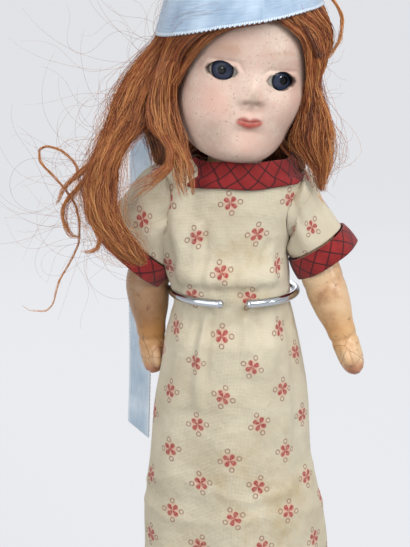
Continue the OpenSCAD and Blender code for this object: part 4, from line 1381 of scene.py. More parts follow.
    def build_eye(self, side: Side) -> None:
        """Blows one glass eye with its clear dome.

        Args:
            side: which eye.
        """
        centre, axes = self.eye_frame(side)
        centre = centre + 1.0 * axes[:, 1]
        r, dome_r = self.eye_d / 2, 11
        polar = np.linspace(100, 178, 20)
        front = np.linspace(0.1, r - 0.1, 40)
        a = ring_angles(48)
        away = np.concatenate([front, r * sind(polar)])[:, None]
        dome = r - dome_r + np.sqrt(dome_r ** 2 - front ** 2) + 0.35 * bell(front, 2.6)
        ahead = np.concatenate([dome, r * cosd(polar)])[:, None]
        rings = side.outwards(xyz(away * sind(a), -ahead, away * cosd(a)))
        surface = loft(self.to_part(rings @ axes.T + centre))
        aside = np.hypot((away * sind(a) - side.own(self.gazes)) / side.own(self.iris_widths), away * cosd(a))
        surface.marks = {"away": np.where(ahead > 0, aside, 9.0).ravel(),
                         "turn": np.tile(np.abs(a - 180) / 57.3, len(away))}
        name = f"{side.word}_eye"
        settle(make_piece(f"{name}_glass", surface, EYE_GLASS), Body.HEAD, "eye_glass", name)

    def build(self) -> None:
        """Makes the head, its eyes and what closes and carries it."""
        self.build_shell()
        for side in Side:
            self.build_eye(side)
        for finish, node in ((PULP_BOARD, "crown_pate"), (PLASTER, "eye_bed"), (BEECH, "neck_plug")):
            finish.dress_nodes(node)


# Wig


@dataclass
class Wig:
    """Waved auburn wig: dense crown, side falls, front strand, loop curl and stray hairs."""

    head: Head
    crown_hairs: int = 1450
    crown_clumps: int = 46
    fall_clumps: int = 13
    hair_d: float = 0.23
    hair_in: float = 2.6
    hair_t: float = 3.0
    right_t: float = 7.0
    left_t: float = 4.0
    seed: int = 11
    # Lengths of a clump's waves and of a hair's own
    waves: tuple[float, float] = (20, 34)
    kinks: tuple[float, float] = (7, 20)
    # How far stray hairs may stand past the solids' box on the right and the left
    stray_past: tuple[float, float] = (7, 4)
    hairline: Table = (
        (-180, -0.95), (-110, -0.86), (-84, -0.76), (-74, -0.36), (-58, 0.06), (-37, 0.40), (-5, 0.56),
        (30, 0.56), (46, 0.30), (60, -0.25), (74, -0.76), (110, -0.86), (180, -0.95))
    # Front edge of the hair on the left and the right: share of the height and the angle there, going up
    edges: tuple[Table, Table] = (
        ((-0.95, 80), (-0.76, 74), (-0.25, 60), (0.30, 46), (0.52, 32), (0.60, 18), (0.66, 15), (1.0, 15)),
        ((-0.95, -88), (-0.76, -84), (-0.36, -74), (0.06, -58), (0.40, -37), (0.56, -5), (0.64, 11), (1.0, 15)))
    # Falls at the sides: x and z of the outer edge, x and z of the inner edge, y and thickness, going down
    right_sweep: Table = (
        (-29.5, 328, -22, 323, -2, 7), (-37.2, 319, -27, 315, -4.5, 9), (-44, 308.2, -31, 305, -6.5, 10),
        (-47.4, 298.3, -33.5, 297, -8, 10.5), (-51.2, 288.6, -39.5, 290.5, -10, 10.5),
        (-54.6, 280.8, -45, 281.8, -13, 9.5),
        (-57.6, 271.2, -47.2, 271.3, -15, 9), (-55.6, 261.3, -46.4, 262, -17, 8), (-51.8, 254.4, -43, 255.8, -18.5, 7),
        (-45.4, 245.9, -36.6, 247.8, -20.5, 5.5), (-36.5, 241.6, -34.5, 242.7, -22, 3))
    left_sweep: Table = (
        (33.4, 318, 27.5, 318, -9, 5), (31.8, 312.5, 26.8, 312.5, -10, 4.5), (33, 306.5, 25.8, 306.5, -10.5, 5),
        (36.4, 297, 24.2, 297, -10.5, 6), (38, 288.5, 22.5, 288.5, -10.5, 6.5), (37.8, 281.5, 27, 281.5, -10.5, 5.5),
        (36.6, 277, 30, 277, -10.5, 4), (35.2, 272.5, 31.4, 272.5, -11, 2.5), (34, 269, 33, 269, -11.5, 1.2))
    front_sweep: Table = (
        (-33.6, 304.5, -22.6, 308.5, -13, 6), (-33, 296.5, -21.6, 299, -15.5, 5),
        (-28.8, 290.8, -19.6, 290.4, -18.5, 4),
        (-24.4, 284.7, -17.8, 284, -20.5, 3.5), (-23.4, 279, -15.8, 278.8, -22, 3), (-22, 273.6, -15.6, 274, -22.8, 2),
        (-20.6, 268.6, -15.8, 269.6, -23.4, 1.5))
    # Hair that hangs behind the cheeks and closes the view past the neck
    right_behind: Table = (
        (-36, 304, -23, 304, 1, 10), (-37, 295, -21.5, 295, 2, 10), (-35, 287, -19, 287, 2.5, 10),
        (-33, 279, -19, 279, 3, 7),
        (-31, 275, -22, 275, 3, 4))
    left_behind: Table = (
        (33, 300, 20, 300, 6, 8), (33, 290, 13, 290, 8, 8), (31, 283, 11.5, 283, 9, 7), (31, 277.5, 14, 278, 8.5, 5),
        (29.5, 272.5, 22, 273.5, 7, 3))
    # Place from the neck ball, width and thickness
    back_fall: Table = (
        (-1, 22, 6.4, 36, 6), (-2, 23.5, 0, 42, 7), (-4, 25, -12, 44, 7), (-7, 25.5, -26, 38, 6), (-9, 25, -38, 26, 4),
        (-10, 24.5, -47, 8, 2))
    # Locks of their own: places and half thickness along each
    front_lock: Table = (
        (-27, -19.5, 292, 1.6), (-24.6, -21.5, 285.5, 1.6), (-25, -22.2, 281.5, 1.7), (-29, -21.8, 277, 2.2),
        (-36.6, -20.8, 272, 3.2), (-43.5, -19.8, 268.5, 4.2))
    loop_lock: Table = (
        (-58, -13, 266, 1.6), (-60.6, -12.5, 273.8, 1.0), (-61, -12, 277.5, 0.7), (-63.6, -11, 281.7, 0.6),
        (-68.8, -10, 285.4, 0.6), (-73.4, -9, 286.2, 0.6), (-76, -9, 284.4, 0.6), (-76, -9, 281.4, 0.6),
        (-74, -9, 278, 0.6),
        (-69.8, -9.5, 273.8, 0.6), (-65.2, -10, 268, 0.6), (-61.8, -10, 261.4, 0.6), (-60.8, -10, 255.2, 0.55),
        (-61, -10, 249.2, 0.5), (-63, -10, 243.7, 0.45), (-66.4, -10, 238, 0.4), (-69, -10, 233.4, 0.4),
        (-70.4, -10, 228.2, 0.4),
        (-71.8, -10, 223.4, 0.35), (-75, -10, 220.6, 0.3), (-80.4, -10, 221, 0.3), (-84.6, -10, 223.4, 0.2))
    hook_locks: tuple[Table, ...] = (
        ((-54, -14, 278, 1.6), (-60, -14, 271, 1.5), (-64.5, -13, 266, 1.4), (-66.6, -12.5, 260.6, 1.3),
         (-65.6, -12.5, 254.8, 1.1), (-63, -12.5, 251.4, 0.8), (-60.6, -12.5, 251, 0.5)),
        ((-55, -18, 268, 1.5), (-56, -18.5, 261, 1.5), (-53.8, -19, 256, 1.4), (-52.2, -19.5, 251.6, 1.1),
         (-53.4, -19.5, 248, 0.9), (-56.4, -19.5, 246.6, 0.7), (-59.6, -19.5, 247.2, 0.4)),
        ((-50, -15, 284, 1.4), (-57, -14, 279, 1.3), (-62, -13, 275, 1.1), (-66, -12, 270.5, 0.9),
         (-69.4, -12, 263.5, 0.6)),
        ((33, -6, 346, 0.7), (38, -6, 341.5, 0.6), (40.8, -7, 335, 0.6), (40.4, -8, 328.6, 0.6), (36.4, -9, 321.6, 0.6),
         (31.5, -11, 318, 0.4)))

    def thick(self, angle: Array, z: Array) -> Array:
        """Thickness of the hair over the wig cap, more down the sides.

        Args:
            angle: degrees from the front.
            z: height above the eye line.

        Returns:
            The thickness.
        """
        top = 0.35 * self.head.skull_up
        drop = ease((top - z) / (top + 0.7 * self.head.face_len))
        s = sind(angle)
        right = drop * self.right_t + 5 * bell(z - 16, 8)
        left = 2.8 * bell(z - 13, 7) - 2.4 * bell(z, 7) + self.left_t * ease((-7 - z) / 14)
        return self.hair_t + 2 * clamp01(-cosd(angle)) + np.where(s < 0, -s * right, s * left)

    def rim(self, angle: Array) -> Array:
        """Height of the hairline at an angle."""
        table = np.array(self.hairline)
        return self.head.height(np.interp((np.asarray(angle) + 180) % 360 - 180, table[:, 0], table[:, 1]))

    def comb_angle(self, side: Side, share: Array, z: Array) -> Array:
        """Angle from the front of the hairs of a side, by their share of the way to the back."""
        table = np.array(side.own(self.edges))
        return mix(level_curve(table[:, 0], table[:, 1], self.head.part_of(z)), side.value * 180.0, share)

    def combed(self, side: Side, share: Array, z: Array, depth: Array) -> Array:
        """Places on the crown along combed paths.

        Args:
            side: side of the parting.
            share: 0 at the front edge, 1 at the middle of the back, by hair.
            z: heights by row and hair.
            depth: place in the hair's thickness, 0 inside and 1 outside.

        Returns:
            Points in the part's frame by row and hair.
        """
        angle = self.comb_angle(side, share, z)
        return self.head.to_part(self.head.out(angle, z, self.hair_in + self.thick(angle, z) * depth))

    def flow(self, rng: Chance, guides: Array, clump: Array, curl: float, frizz: float, steps: int,
             shortest: float) -> Array:
        """Runs hairs along their guides, waved clump by clump and frizzed one by one.

        Args:
            rng: source of chance.
            guides: places by row along the hair and by hair.
            clump: number of each hair's clump.
            curl: height of a clump's waves.
            frizz: height of a hair's own waves.
            steps: points along a hair.
            shortest: share of its guide that the shortest hair runs.

        Returns:
            Points by hair and step.
        """
        rows, count = guides.shape[:2]
        fine = 3 * steps
        dense = smooth_path(guides.reshape(rows, -1), fine, calm=True).reshape(fine, count, 3)
        at = np.linspace(0, 1, steps)[:, None] * rng.uniform(shortest, 1.0, count) * (fine - 1)
        low = np.minimum(at.astype(int), fine - 2)
        hair = np.arange(count)[None]
        p = mix(dense[low, hair], dense[low + 1, hair], (at - low)[..., None])
        run = np.cumsum(np.linalg.norm(np.diff(p, axis=0, prepend=p[:1]), axis=-1), axis=0)
        grown = ease(at / fine * 3.2 - 0.5)
        for height, n, lengths, ways, kind in ((curl, int(clump.max()) + 1, self.waves, [1, 0.7, 0.4], clump),
                                               (frizz, count, self.kinks, [1, 1, 1], np.arange(count))):
            length, start = rng.uniform(*lengths, n), rng.uniform(0, 6.28, n)
            way = unit(rng.normal(0, 1, (n, 3)) * ways)
            wave = np.sin(2 * math.pi * run / length[kind] + start[kind])
            p = p + (height * grown * wave)[..., None] * way[kind]
        return p.transpose(1, 0, 2)

    def lay(self, name: str, paths: Array, tone: Array, thin: float, *nodes: str) -> None:
        """Makes one piece of many hairs that reaches from the head at its top to the dress at its end.

        Args:
            name: name of the piece.
            paths: points by hair and step.
            tone: shade of each hair.
            thin: share of the usual thickness.
            nodes: nodes that it stands for.
        """
        t = np.linspace(0, 1, paths.shape[1])[None, :]
        radius = np.broadcast_to(mix(1.0, 0.45, t ** 3) * self.hair_d / 2 * thin, paths.shape[:2])
        settle(make_piece(name, tubes(paths, radius, tone), MOHAIR), NECK_TURN, "hair", *nodes)

    def tones(self, rng: Chance, clump: Array) -> Array:
        """Shade of each hair, alike within a clump."""
        shades = rng.normal(0, 0.16, int(clump.max()) + 1)
        return clamp01(0.5 + shades[clump] + rng.normal(0, 0.3, len(clump)))

    def back_rows(self) -> Array:
        """Stations of the fall at the back, in the part's frame."""
        return np.array(self.back_fall, float) + np.array([*self.head.neck, 0, 0])

    def core(self, sweep: Rows) -> Array:
        """Stations along the middle of a fall at the side: place, width and thickness."""
        x0, z0, x1, z1, y, thick = np.array(sweep, float).T
        return xyz((x0 + x1) / 2, y, (z0 + z1) / 2, np.hypot(x0 - x1, z0 - z1), thick)

    def build_mass(self) -> None:
        """Makes the cap and the underlayers of the crown and the falls, which are painted dark as shade."""
        head, rows = self.head, 30
        angles = head.angles(120)
        rise = sind(np.linspace(0, 90, rows))[:, None]
        z = mix(self.rim(angles)[None, :], head.height(np.array(0.985)), rise)
        grooves = 0.2 * sind(angles * 23) + 0.14 * sind(angles * 41 + 60) - 0.3
        full = mix(0.2, 0.76, ease(rise * 2.4))
        angles = angles[None, :]
        inner = head.out(angles, z, np.full(z.shape, self.hair_in))
        outer = head.out(angles, z, self.hair_in + self.thick(angles, z) * full + grooves)
        lining, net = (head.out(angles, z + 0.8, np.full(z.shape, grow)) for grow in (0.5, 2.2))
        cap = loft(head.to_part(np.concatenate([lining[::-1], net])))
        settle(make_piece("wig_buckram_cap", cap, BUCKRAM), Body.HEAD, "cap_net", "wig_cap")
        crown = loft(head.to_part(np.concatenate([inner[::-1], outer])))
        settle(make_piece("wig_crown_underlayer", crown, MOHAIR_SHADE_FILL), Body.HEAD, "hair", "hair_crown")
        for name, stations, scale in (
                ("right", self.core(self.right_sweep[3:]), 0.55), ("left", self.core(self.left_sweep[1:]), 0.4),
                ("back", self.back_rows(), 0.8), ("right_behind", self.core(self.right_behind), 0.85),
                ("left_behind", self.core(self.left_behind), 0.85)):
            nodes = () if "behind" in name else (f"hair_fall_{name}",)
            mass = round_lock(stations, (0, 1, 0), 60, 20, scale)
            settle(make_piece(f"wig_{name}_core", mass, MOHAIR_SHADE_FILL), NECK_TURN, "hair", *nodes)

    def build_crown(self) -> None:
        """Combs the crown's hairs from the parting down to the hairline on both sides."""
        rng = np.random.default_rng(self.seed)
        n, edge, t = self.crown_hairs, 200, np.linspace(0, 1, 9)[:, None]
        for side in (Side.RIGHT, Side.LEFT):
            share = rng.random(n) ** 1.2
            clump = np.floor(share * self.crown_clumps).astype(int)
            share = mix(share, (clump + 0.5) / self.crown_clumps, 0.3)
            share[:edge] = rng.uniform(-0.04, 0.02, edge)
            high, low = self.head.height(0.99 - 0.03 * rng.random(n)), self.head.height(-0.66 - 0.25 * rng.random(n))
            z = mix(high, low, 1 - cosd(90 * t ** 0.9))
            z = np.maximum(z, np.minimum(self.rim(self.comb_angle(side, share, z)) - 0.6, high))
            front = rng.random(n) * mix(0.5, 1.05, clamp01(share * 20))
            depth = np.where(share < 0.1, front, 0.7 + 0.36 * rng.random(n)) * np.ones_like(z)
            paths = self.flow(rng, self.combed(side, share, z, depth), clump, 0.55, 0.3, 19, 0.8)
            hairs = tubes(paths, np.full(paths.shape[:2], self.hair_d / 2), self.tones(rng, clump))
            settle(make_piece(f"wig_crown_hairs_{side.word}", hairs, MOHAIR), Body.HEAD, "hair")

    def sweep(self, rng: Chance, side: Side, rows: Rows, reach: tuple[float, float], count: int, curl: float,
              depth: tuple[float, float] = (0.55, 0.97), spread: float = 0.08) -> tuple[Array, Array]:
        """Hairs of a fall that run on from the crown and gather into locks.

        Args:
            rng: source of chance.
            side: side of the parting.
            rows: the fall's edges, going down.
            reach: shares of the crown that the hairs at the inner and outer edge come from.
            count: hairs.
            curl: height of the waves.
            depth: places in the crown's thickness that the hairs come from.
            spread: how far single hairs leave their places, as a share of the fall's width.

        Returns:
            Points by hair and step, and the clump of each hair.
        """
        t, n = np.array(rows, float)[:, :, None], self.fall_clumps
        place, deep = rng.random(count), rng.uniform(-1, 1, count)
        clump = (np.floor(place * n) + n * np.floor((deep + 1) * 1.49)).astype(int)
        down = np.linspace(26.0, max((t[0, 1, 0] - 309), 4.0), 3)[:, None] + np.zeros(count)
        sink = mix(0.7, mix(*depth, (deep + 1) / 2), np.array([[0.2], [0.5], [1.0]]))
        crown = self.combed(side, mix(*reach, place), down, sink)
        along = np.linspace(0, 1, len(t))[:, None]
        w = (mix(place, (np.floor(place * n) + 0.5) / n, 0.4 * along)
             + rng.normal(0, spread, count) * mix(0.3, 1.2, along))
        y = t[:, 4] + deep * t[:, 5] / 2 * np.sqrt(1 - 0.8 * (2 * place - 1) ** 2)
        fall = xyz(mix(t[:, 2], t[:, 0], w), y, mix(t[:, 3], t[:, 1], w))
        return self.flow(rng, np.concatenate([crown, fall]), clump, curl, 0.55, 24, 0.6), clump

    def build_sweeps(self) -> None:
        """Lays the falls at the sides, in front and at the back, each running on from the crown."""
        rng = np.random.default_rng(self.seed + 1)
        right, left = (Side.RIGHT, self.right_sweep), (Side.LEFT, self.left_sweep)
        for name, side_rows, reach, count, curl in (
                ("right", right, (0.06, 0.5), 1400, 1.0), ("right_over", right, (0.02, 0.4), 1000, 1.5),
                ("right_behind", (Side.RIGHT, self.right_behind), (0.2, 0.5), 420, 0.7),
                ("left", left, (0.0, 0.2), 720, 1.0),
                ("left_behind", (Side.LEFT, self.left_behind), (0.15, 0.5), 620, 0.7)):
            paths, clump = self.sweep(rng, *side_rows, reach, count, curl)
            # Hairs are coloured lighter towards a fall's outer edge: painted light, as for hair lit from behind
            self.lay(f"wig_{name}_hairs", paths, self.tones(rng, clump) + 0.3 * (clump % 13 / 12 - 0.45), 1.0)
        for name, side_rows, reach, count in (("right", right, (0.05, 0.5), 520), ("left", left, (0.02, 0.2), 130)):
            paths, clump = self.sweep(rng, *side_rows, reach, count, 2.2, spread=0.36)
            self.lay(f"wig_{name}_wisps", paths, self.tones(rng, clump), 0.62)
        paths, clump = self.sweep(rng, Side.RIGHT, self.front_sweep, (-0.01, 0.2), 330, 0.9, (0.9, 1.1))
        count = 110
        wisp = self.flow(rng, self.bundle(rng, self.front_lock, count), rng.integers(0, 9, count), 0.9, 0.5, 24, 0.5)
        tone = np.append(self.tones(rng, clump), rng.uniform(0.3, 0.9, count))
        self.lay("wig_front_hairs", np.concatenate([paths, wisp]), tone, 0.9, "hair_strand")
        self.build_back(rng)

    def build_back(self, rng: Chance) -> None:
        """Lays the fall at the back, which runs on from both sides of the crown.

        Args:
            rng: source of chance.
        """
        count = 1100
        half = rng.uniform(-1, 1, count)
        clump, deep = np.floor((half + 1) * 12).astype(int), rng.uniform(-1, 1, count)
        down = np.array([18.0, 10.0, 2.0, -6.0])[:, None] + np.zeros(count)
        sink = np.full(down.shape, 0.95)
        crown = np.where((half < 0)[:, None], *(self.combed(side, 1 - 0.4 * np.abs(half), down, sink)
                                                for side in (Side.RIGHT, Side.LEFT)))
        x, y, z, wide, thick = self.back_rows().T[..., None]
        fall = xyz(x + half * wide / 2, y + deep * thick / 2, z)
        paths = self.flow(rng, np.concatenate([crown, fall]), clump, 1.1, 0.5, 24, 0.8)
        self.lay("wig_back_hairs", paths, self.tones(rng, clump), 1.0)

    def bundle(self, rng: Chance, stations: Rows, count: int) -> Array:
        """Guides of the hairs of one lock.

        Args:
            rng: source of chance.
            stations: places and half thickness along the lock.
            count: hairs.

        Returns:
            Places by row and hair.
        """
        p = np.array(stations, float)
        across, out = path_axes(p[:, :3], (0, 1, 0))
        far, turn = np.sqrt(rng.random(count)), rng.random(count) * 360 + np.linspace(0, 140, len(p))[:, None]
        e, o = (far * f(turn) * p[:, 3:4] for f in (cosd, sind))
        return p[:, None, :3] + across[:, None] * e[..., None] + out[:, None] * o[..., None]

    def build_locks(self) -> None:
        """Lays the loop curl and the hooks that leave the right fall."""
        rng = np.random.default_rng(self.seed + 2)
        fine, full = 18, 46
        loop = self.flow(rng, self.bundle(rng, self.loop_lock, fine), np.zeros(fine, int), 0.2, 0.2, 70, 0.8)
        self.lay("wig_loop_hairs", loop, rng.uniform(0.6, 1.15, fine), 0.65, "hair_curl_loop")
        hooks = [self.flow(rng, self.bundle(rng, rows, full), rng.integers(0, 3, full), 0.4, 0.45, 30, 0.7)
                 for rows in self.hook_locks]
        self.lay("wig_hook_curls", np.concatenate(hooks), rng.uniform(0.4, 1.15, full * len(hooks)), 0.8)

    def build_stray(self) -> None:
        """Adds fine stray hairs round the falls and over the crown, and one open ring by the loop curl."""
        rng = np.random.default_rng(self.seed + 3)
        steps, over, paths = 26, 60, []
        for sweep, count, heading, turn, long in ((self.right_sweep, 130, 200, 170, (18, 60)),
                                                  (self.left_sweep, 90, -50, 120, (5, 15))):
            t = np.array(sweep, float)[rng.integers(0, len(sweep) - 2, count)]
            w = rng.uniform(0.1, 1.1, count)
            y = t[:, 4] + rng.uniform(-0.5, 0.4, count) * t[:, 5]
            at = xyz(mix(t[:, 2], t[:, 0], w), y, mix(t[:, 3], t[:, 1], w))
            s = np.linspace(0, 1, steps)
            way = np.radians(rng.normal(heading, 45, count)[:, None] + rng.normal(0, turn, count)[:, None] * s
                             + rng.normal(0, 25, count)[:, None] * np.sin(9 * s + rng.uniform(0, 6, count)[:, None]))
            go = xyz(np.cos(way), rng.normal(-0.05, 0.2, count)[:, None], np.sin(way))
            paths.append(at[:, None] + np.cumsum(go, axis=1) * (rng.uniform(*long, count) / steps)[:, None, None])
        ring = np.linspace(20, 350, steps)
        paths.append(xyz(-77.2 + 10.6 * cosd(ring), -9.0, 271 + 10.6 * sind(ring))[None])
        for side in Side:
            share, z = rng.random(over), rng.uniform(-12, 33, over) + np.linspace(0, -9, steps)[:, None]
            lift = 1.0 + rng.uniform(0.05, 0.45, over) * np.sin(math.pi * np.linspace(0, 0.8, steps))[:, None]
            paths.append(self.combed(side, share * 0.5, z, lift).transpose(1, 0, 2))
        every = np.concatenate(paths)
        right, left = self.stray_past
        every[..., 0] = np.clip(every[..., 0], CAD_BOX[0].x / MM - right, CAD_BOX[1].x / MM + left)
        self.lay("wig_stray_hairs", every, rng.uniform(0.15, 0.7, len(every)), 0.38)

    def build(self) -> None:
        """Makes the whole wig."""
        for step in (self.build_mass, self.build_crown, self.build_sweeps, self.build_locks, self.build_stray):
            step()


# Ribbon


@dataclass
class Ribbon:
    """Pale blue satin ribbon with a picot edge: band, knot and two tails."""

    head: Head
    wig: Wig
    width: float = 11.0
    thickness: float = 0.5
    gap: float = 0.6
    picot: float = 1.7
    picot_out: float = 0.55
    knot_angle: float = -142.0
    tail_len: float = 168.0

    def point(self, angle: Array, share: Array, lift: Array) -> Array:
        """Point of the band in the head's frame.

        Args:
            angle: degrees from the front.
            share: place across the ribbon, -1 at its lower edge and 1 at its upper.
            lift: distance above the hair.

        Returns:
            Points in the head's frame.
        """
        middle = self.head.height(np.array(0.63)) + 0.7 + 7.05 * sind(angle) - 2.05 * sind(angle) ** 2
        quarter = (middle + share * self.width / 4) / self.head.skull_up
        rise = np.interp(quarter, (0.3, 0.55, 0.7, 0.85, 0.95), (1, 0.9, 0.78, 0.55, 0.3))
        z = middle + share * self.width / 2 * rise
        return self.head.out(angle, z, self.wig.hair_in + self.wig.thick(angle, z) + lift)

    def satin_strip(self, middle: Array, across: Array, out: Array, closed: bool) -> Surface:
        """Strip of ribbon with its picot edge.

        Args:
            middle: points along the ribbon's middle.
            across: half-width vectors across it.
            out: unit vectors out of its face.
            closed: whether it runs round in a loop.

        Returns:
            The closed surface with its cloth coordinates.
        """
        run = run_along(middle)
        shares = np.array([-1.0, -0.93, -0.8, -0.5, -0.17, 0.17, 0.5, 0.8, 0.93, 1.0])
        looped = 1 + self.picot_out / (self.width / 2) * np.abs(np.sin(math.pi * run / self.picot)) - 0.05
        wide = shares[None, :] * np.where(np.abs(shares) == 1, looped[:, None], 1.0)
        face = middle[:, None] + across[:, None] * wide[..., None]
        lift = out[:, None] * self.thickness / 2
        rings = np.concatenate([face + lift, (face - lift)[:, ::-1]], axis=1)
        surface = loft(rings, close_rows=closed)
        n = rings.shape[1]
        flat = xyz(np.concatenate([shares, shares[::-1], shares[:1]]) * self.width / 2, run[:, None])
        corners = grid_faces(len(run), n + 1, closed, False)
        ends = np.zeros((0 if closed else 2 * n, 2))
        surface.cloth = np.concatenate([flat.reshape(-1, 2)[corners.reshape(-1)], ends])
        return surface

    def build_band(self) -> None:
        """Lays the band round the head, with soft puckers."""
        count = 700
        angles = np.linspace(0, 360, count, endpoint=False)
        lift = self.gap + self.thickness / 2 + 0.25 + 0.22 * sind(angles * 17) * sind(angles * 5 + 40)
        low, middle, high = (self.head.to_part(self.point(angles, np.full(count, s), lift)) for s in (-1.0, 0.0, 1.0))
        across = (high - low) / 2
        along = unit(np.roll(middle, -1, axis=0) - np.roll(middle, 1, axis=0))
        strip = self.satin_strip((high + low) / 2 * 0.35 + middle * 0.65, across, unit(np.cross(along, across)), True)
        band = settle(make_piece("ribbon_satin_band", strip, SATIN), Body.HEAD, "satin", "ribbon_band")

    def knot_at(self) -> Array:
        """Place of the knot in the part's frame."""
        lift = 2 * self.gap + self.thickness + 2.7
        return self.head.to_part(self.point(np.array(self.knot_angle), np.array(0.0), np.array(lift)))

    def build_knot(self) -> None:
        """Ties the knot: a wrapped lump with creases."""
        count, sides, creases = 36, 40, 5
        turn = self.knot_angle + self.head.yaw
        along = np.array([cosd(turn), sind(turn), 0])
        rows = [(*(self.knot_at() + along * s), w, t)
                for s, w, t in ((-6, 3, 2), (-4, 8, 4), (0, 10, 5), (4, 8, 4), (6, 3, 2))]
        knot = round_lock(rows, (-along[1], along[0], 0), count, sides)
        rings = knot.points.reshape(count, sides, 3)
        crease = 1 + 0.06 * np.sin(np.arange(sides) * 2 * math.pi / sides * creases)[None, :, None]
        middle = rings.mean(axis=1, keepdims=True)
        knot.points = (middle + (rings - middle) * crease).reshape(-1, 3)
        knot.cloth = np.zeros((sum(f.size for f in knot.faces), 2))
        settle(make_piece("ribbon_satin_knot", knot, SATIN), Body.HEAD, "satin", "ribbon_knot")

    def build_tail(self, name: str, stations: Rows, facing: Point, count: int, cut: float) -> None:
        """Hangs one tail with slow ripples and a slanted end.

        Args:
            name: node that it stands for.
            stations: places along it from the neck ball.
            facing: direction that its face turns to.
            count: rows along it.
            cut: slant of its end.
        """
        path = smooth_path(stations, count) + np.array(self.head.neck)
        across, out = path_axes(path, facing)
        t = np.linspace(0, 1, count)
        slant = xyz(0.0, 0.0, -cut * ease((t - 0.9) / 0.1))
        ripple = 0.5 * np.sin(t * 15) * ease(t * 6) * ease((1 - t) * 8)
        strip = self.satin_strip(path + out * ripple[:, None], across * self.width / 2 + slant / 2, out, False)
        # The tails take the paler satin, which is painted light
        tail = settle(make_piece(name + "_satin", strip, SATIN_PAINTED_LIGHT), NECK_TURN, "satin", name)

    def build(self) -> None:
        """Makes the whole ribbon."""
        self.build_band()
        self.build_knot()
        start, fall = self.knot_at() - np.array(self.head.neck), self.tail_len
        self.build_tail("ribbon_tail_long",
                        [start + [-5, 1, -3], (-28, 27.5, 39), (-34.5, 25.8, 22), (-38, 24, 3),
                         (-38.6, 26.5, -fall * 0.25), (-39, 29.3, -fall * 0.45), (-40, 30, 48.8 - fall)],
                        (0.6, 0.8, 0.05), 520, 5.0)
        self.build_tail("ribbon_tail_short",
                        [start + [-1, 4, -3.3], (-18, 36, 34), (-20, 38, 12), (-21, 38.5, -14), (-21, 38, -36)],
                        (0, 1, 0.05), 300, 4.0)


# Dress


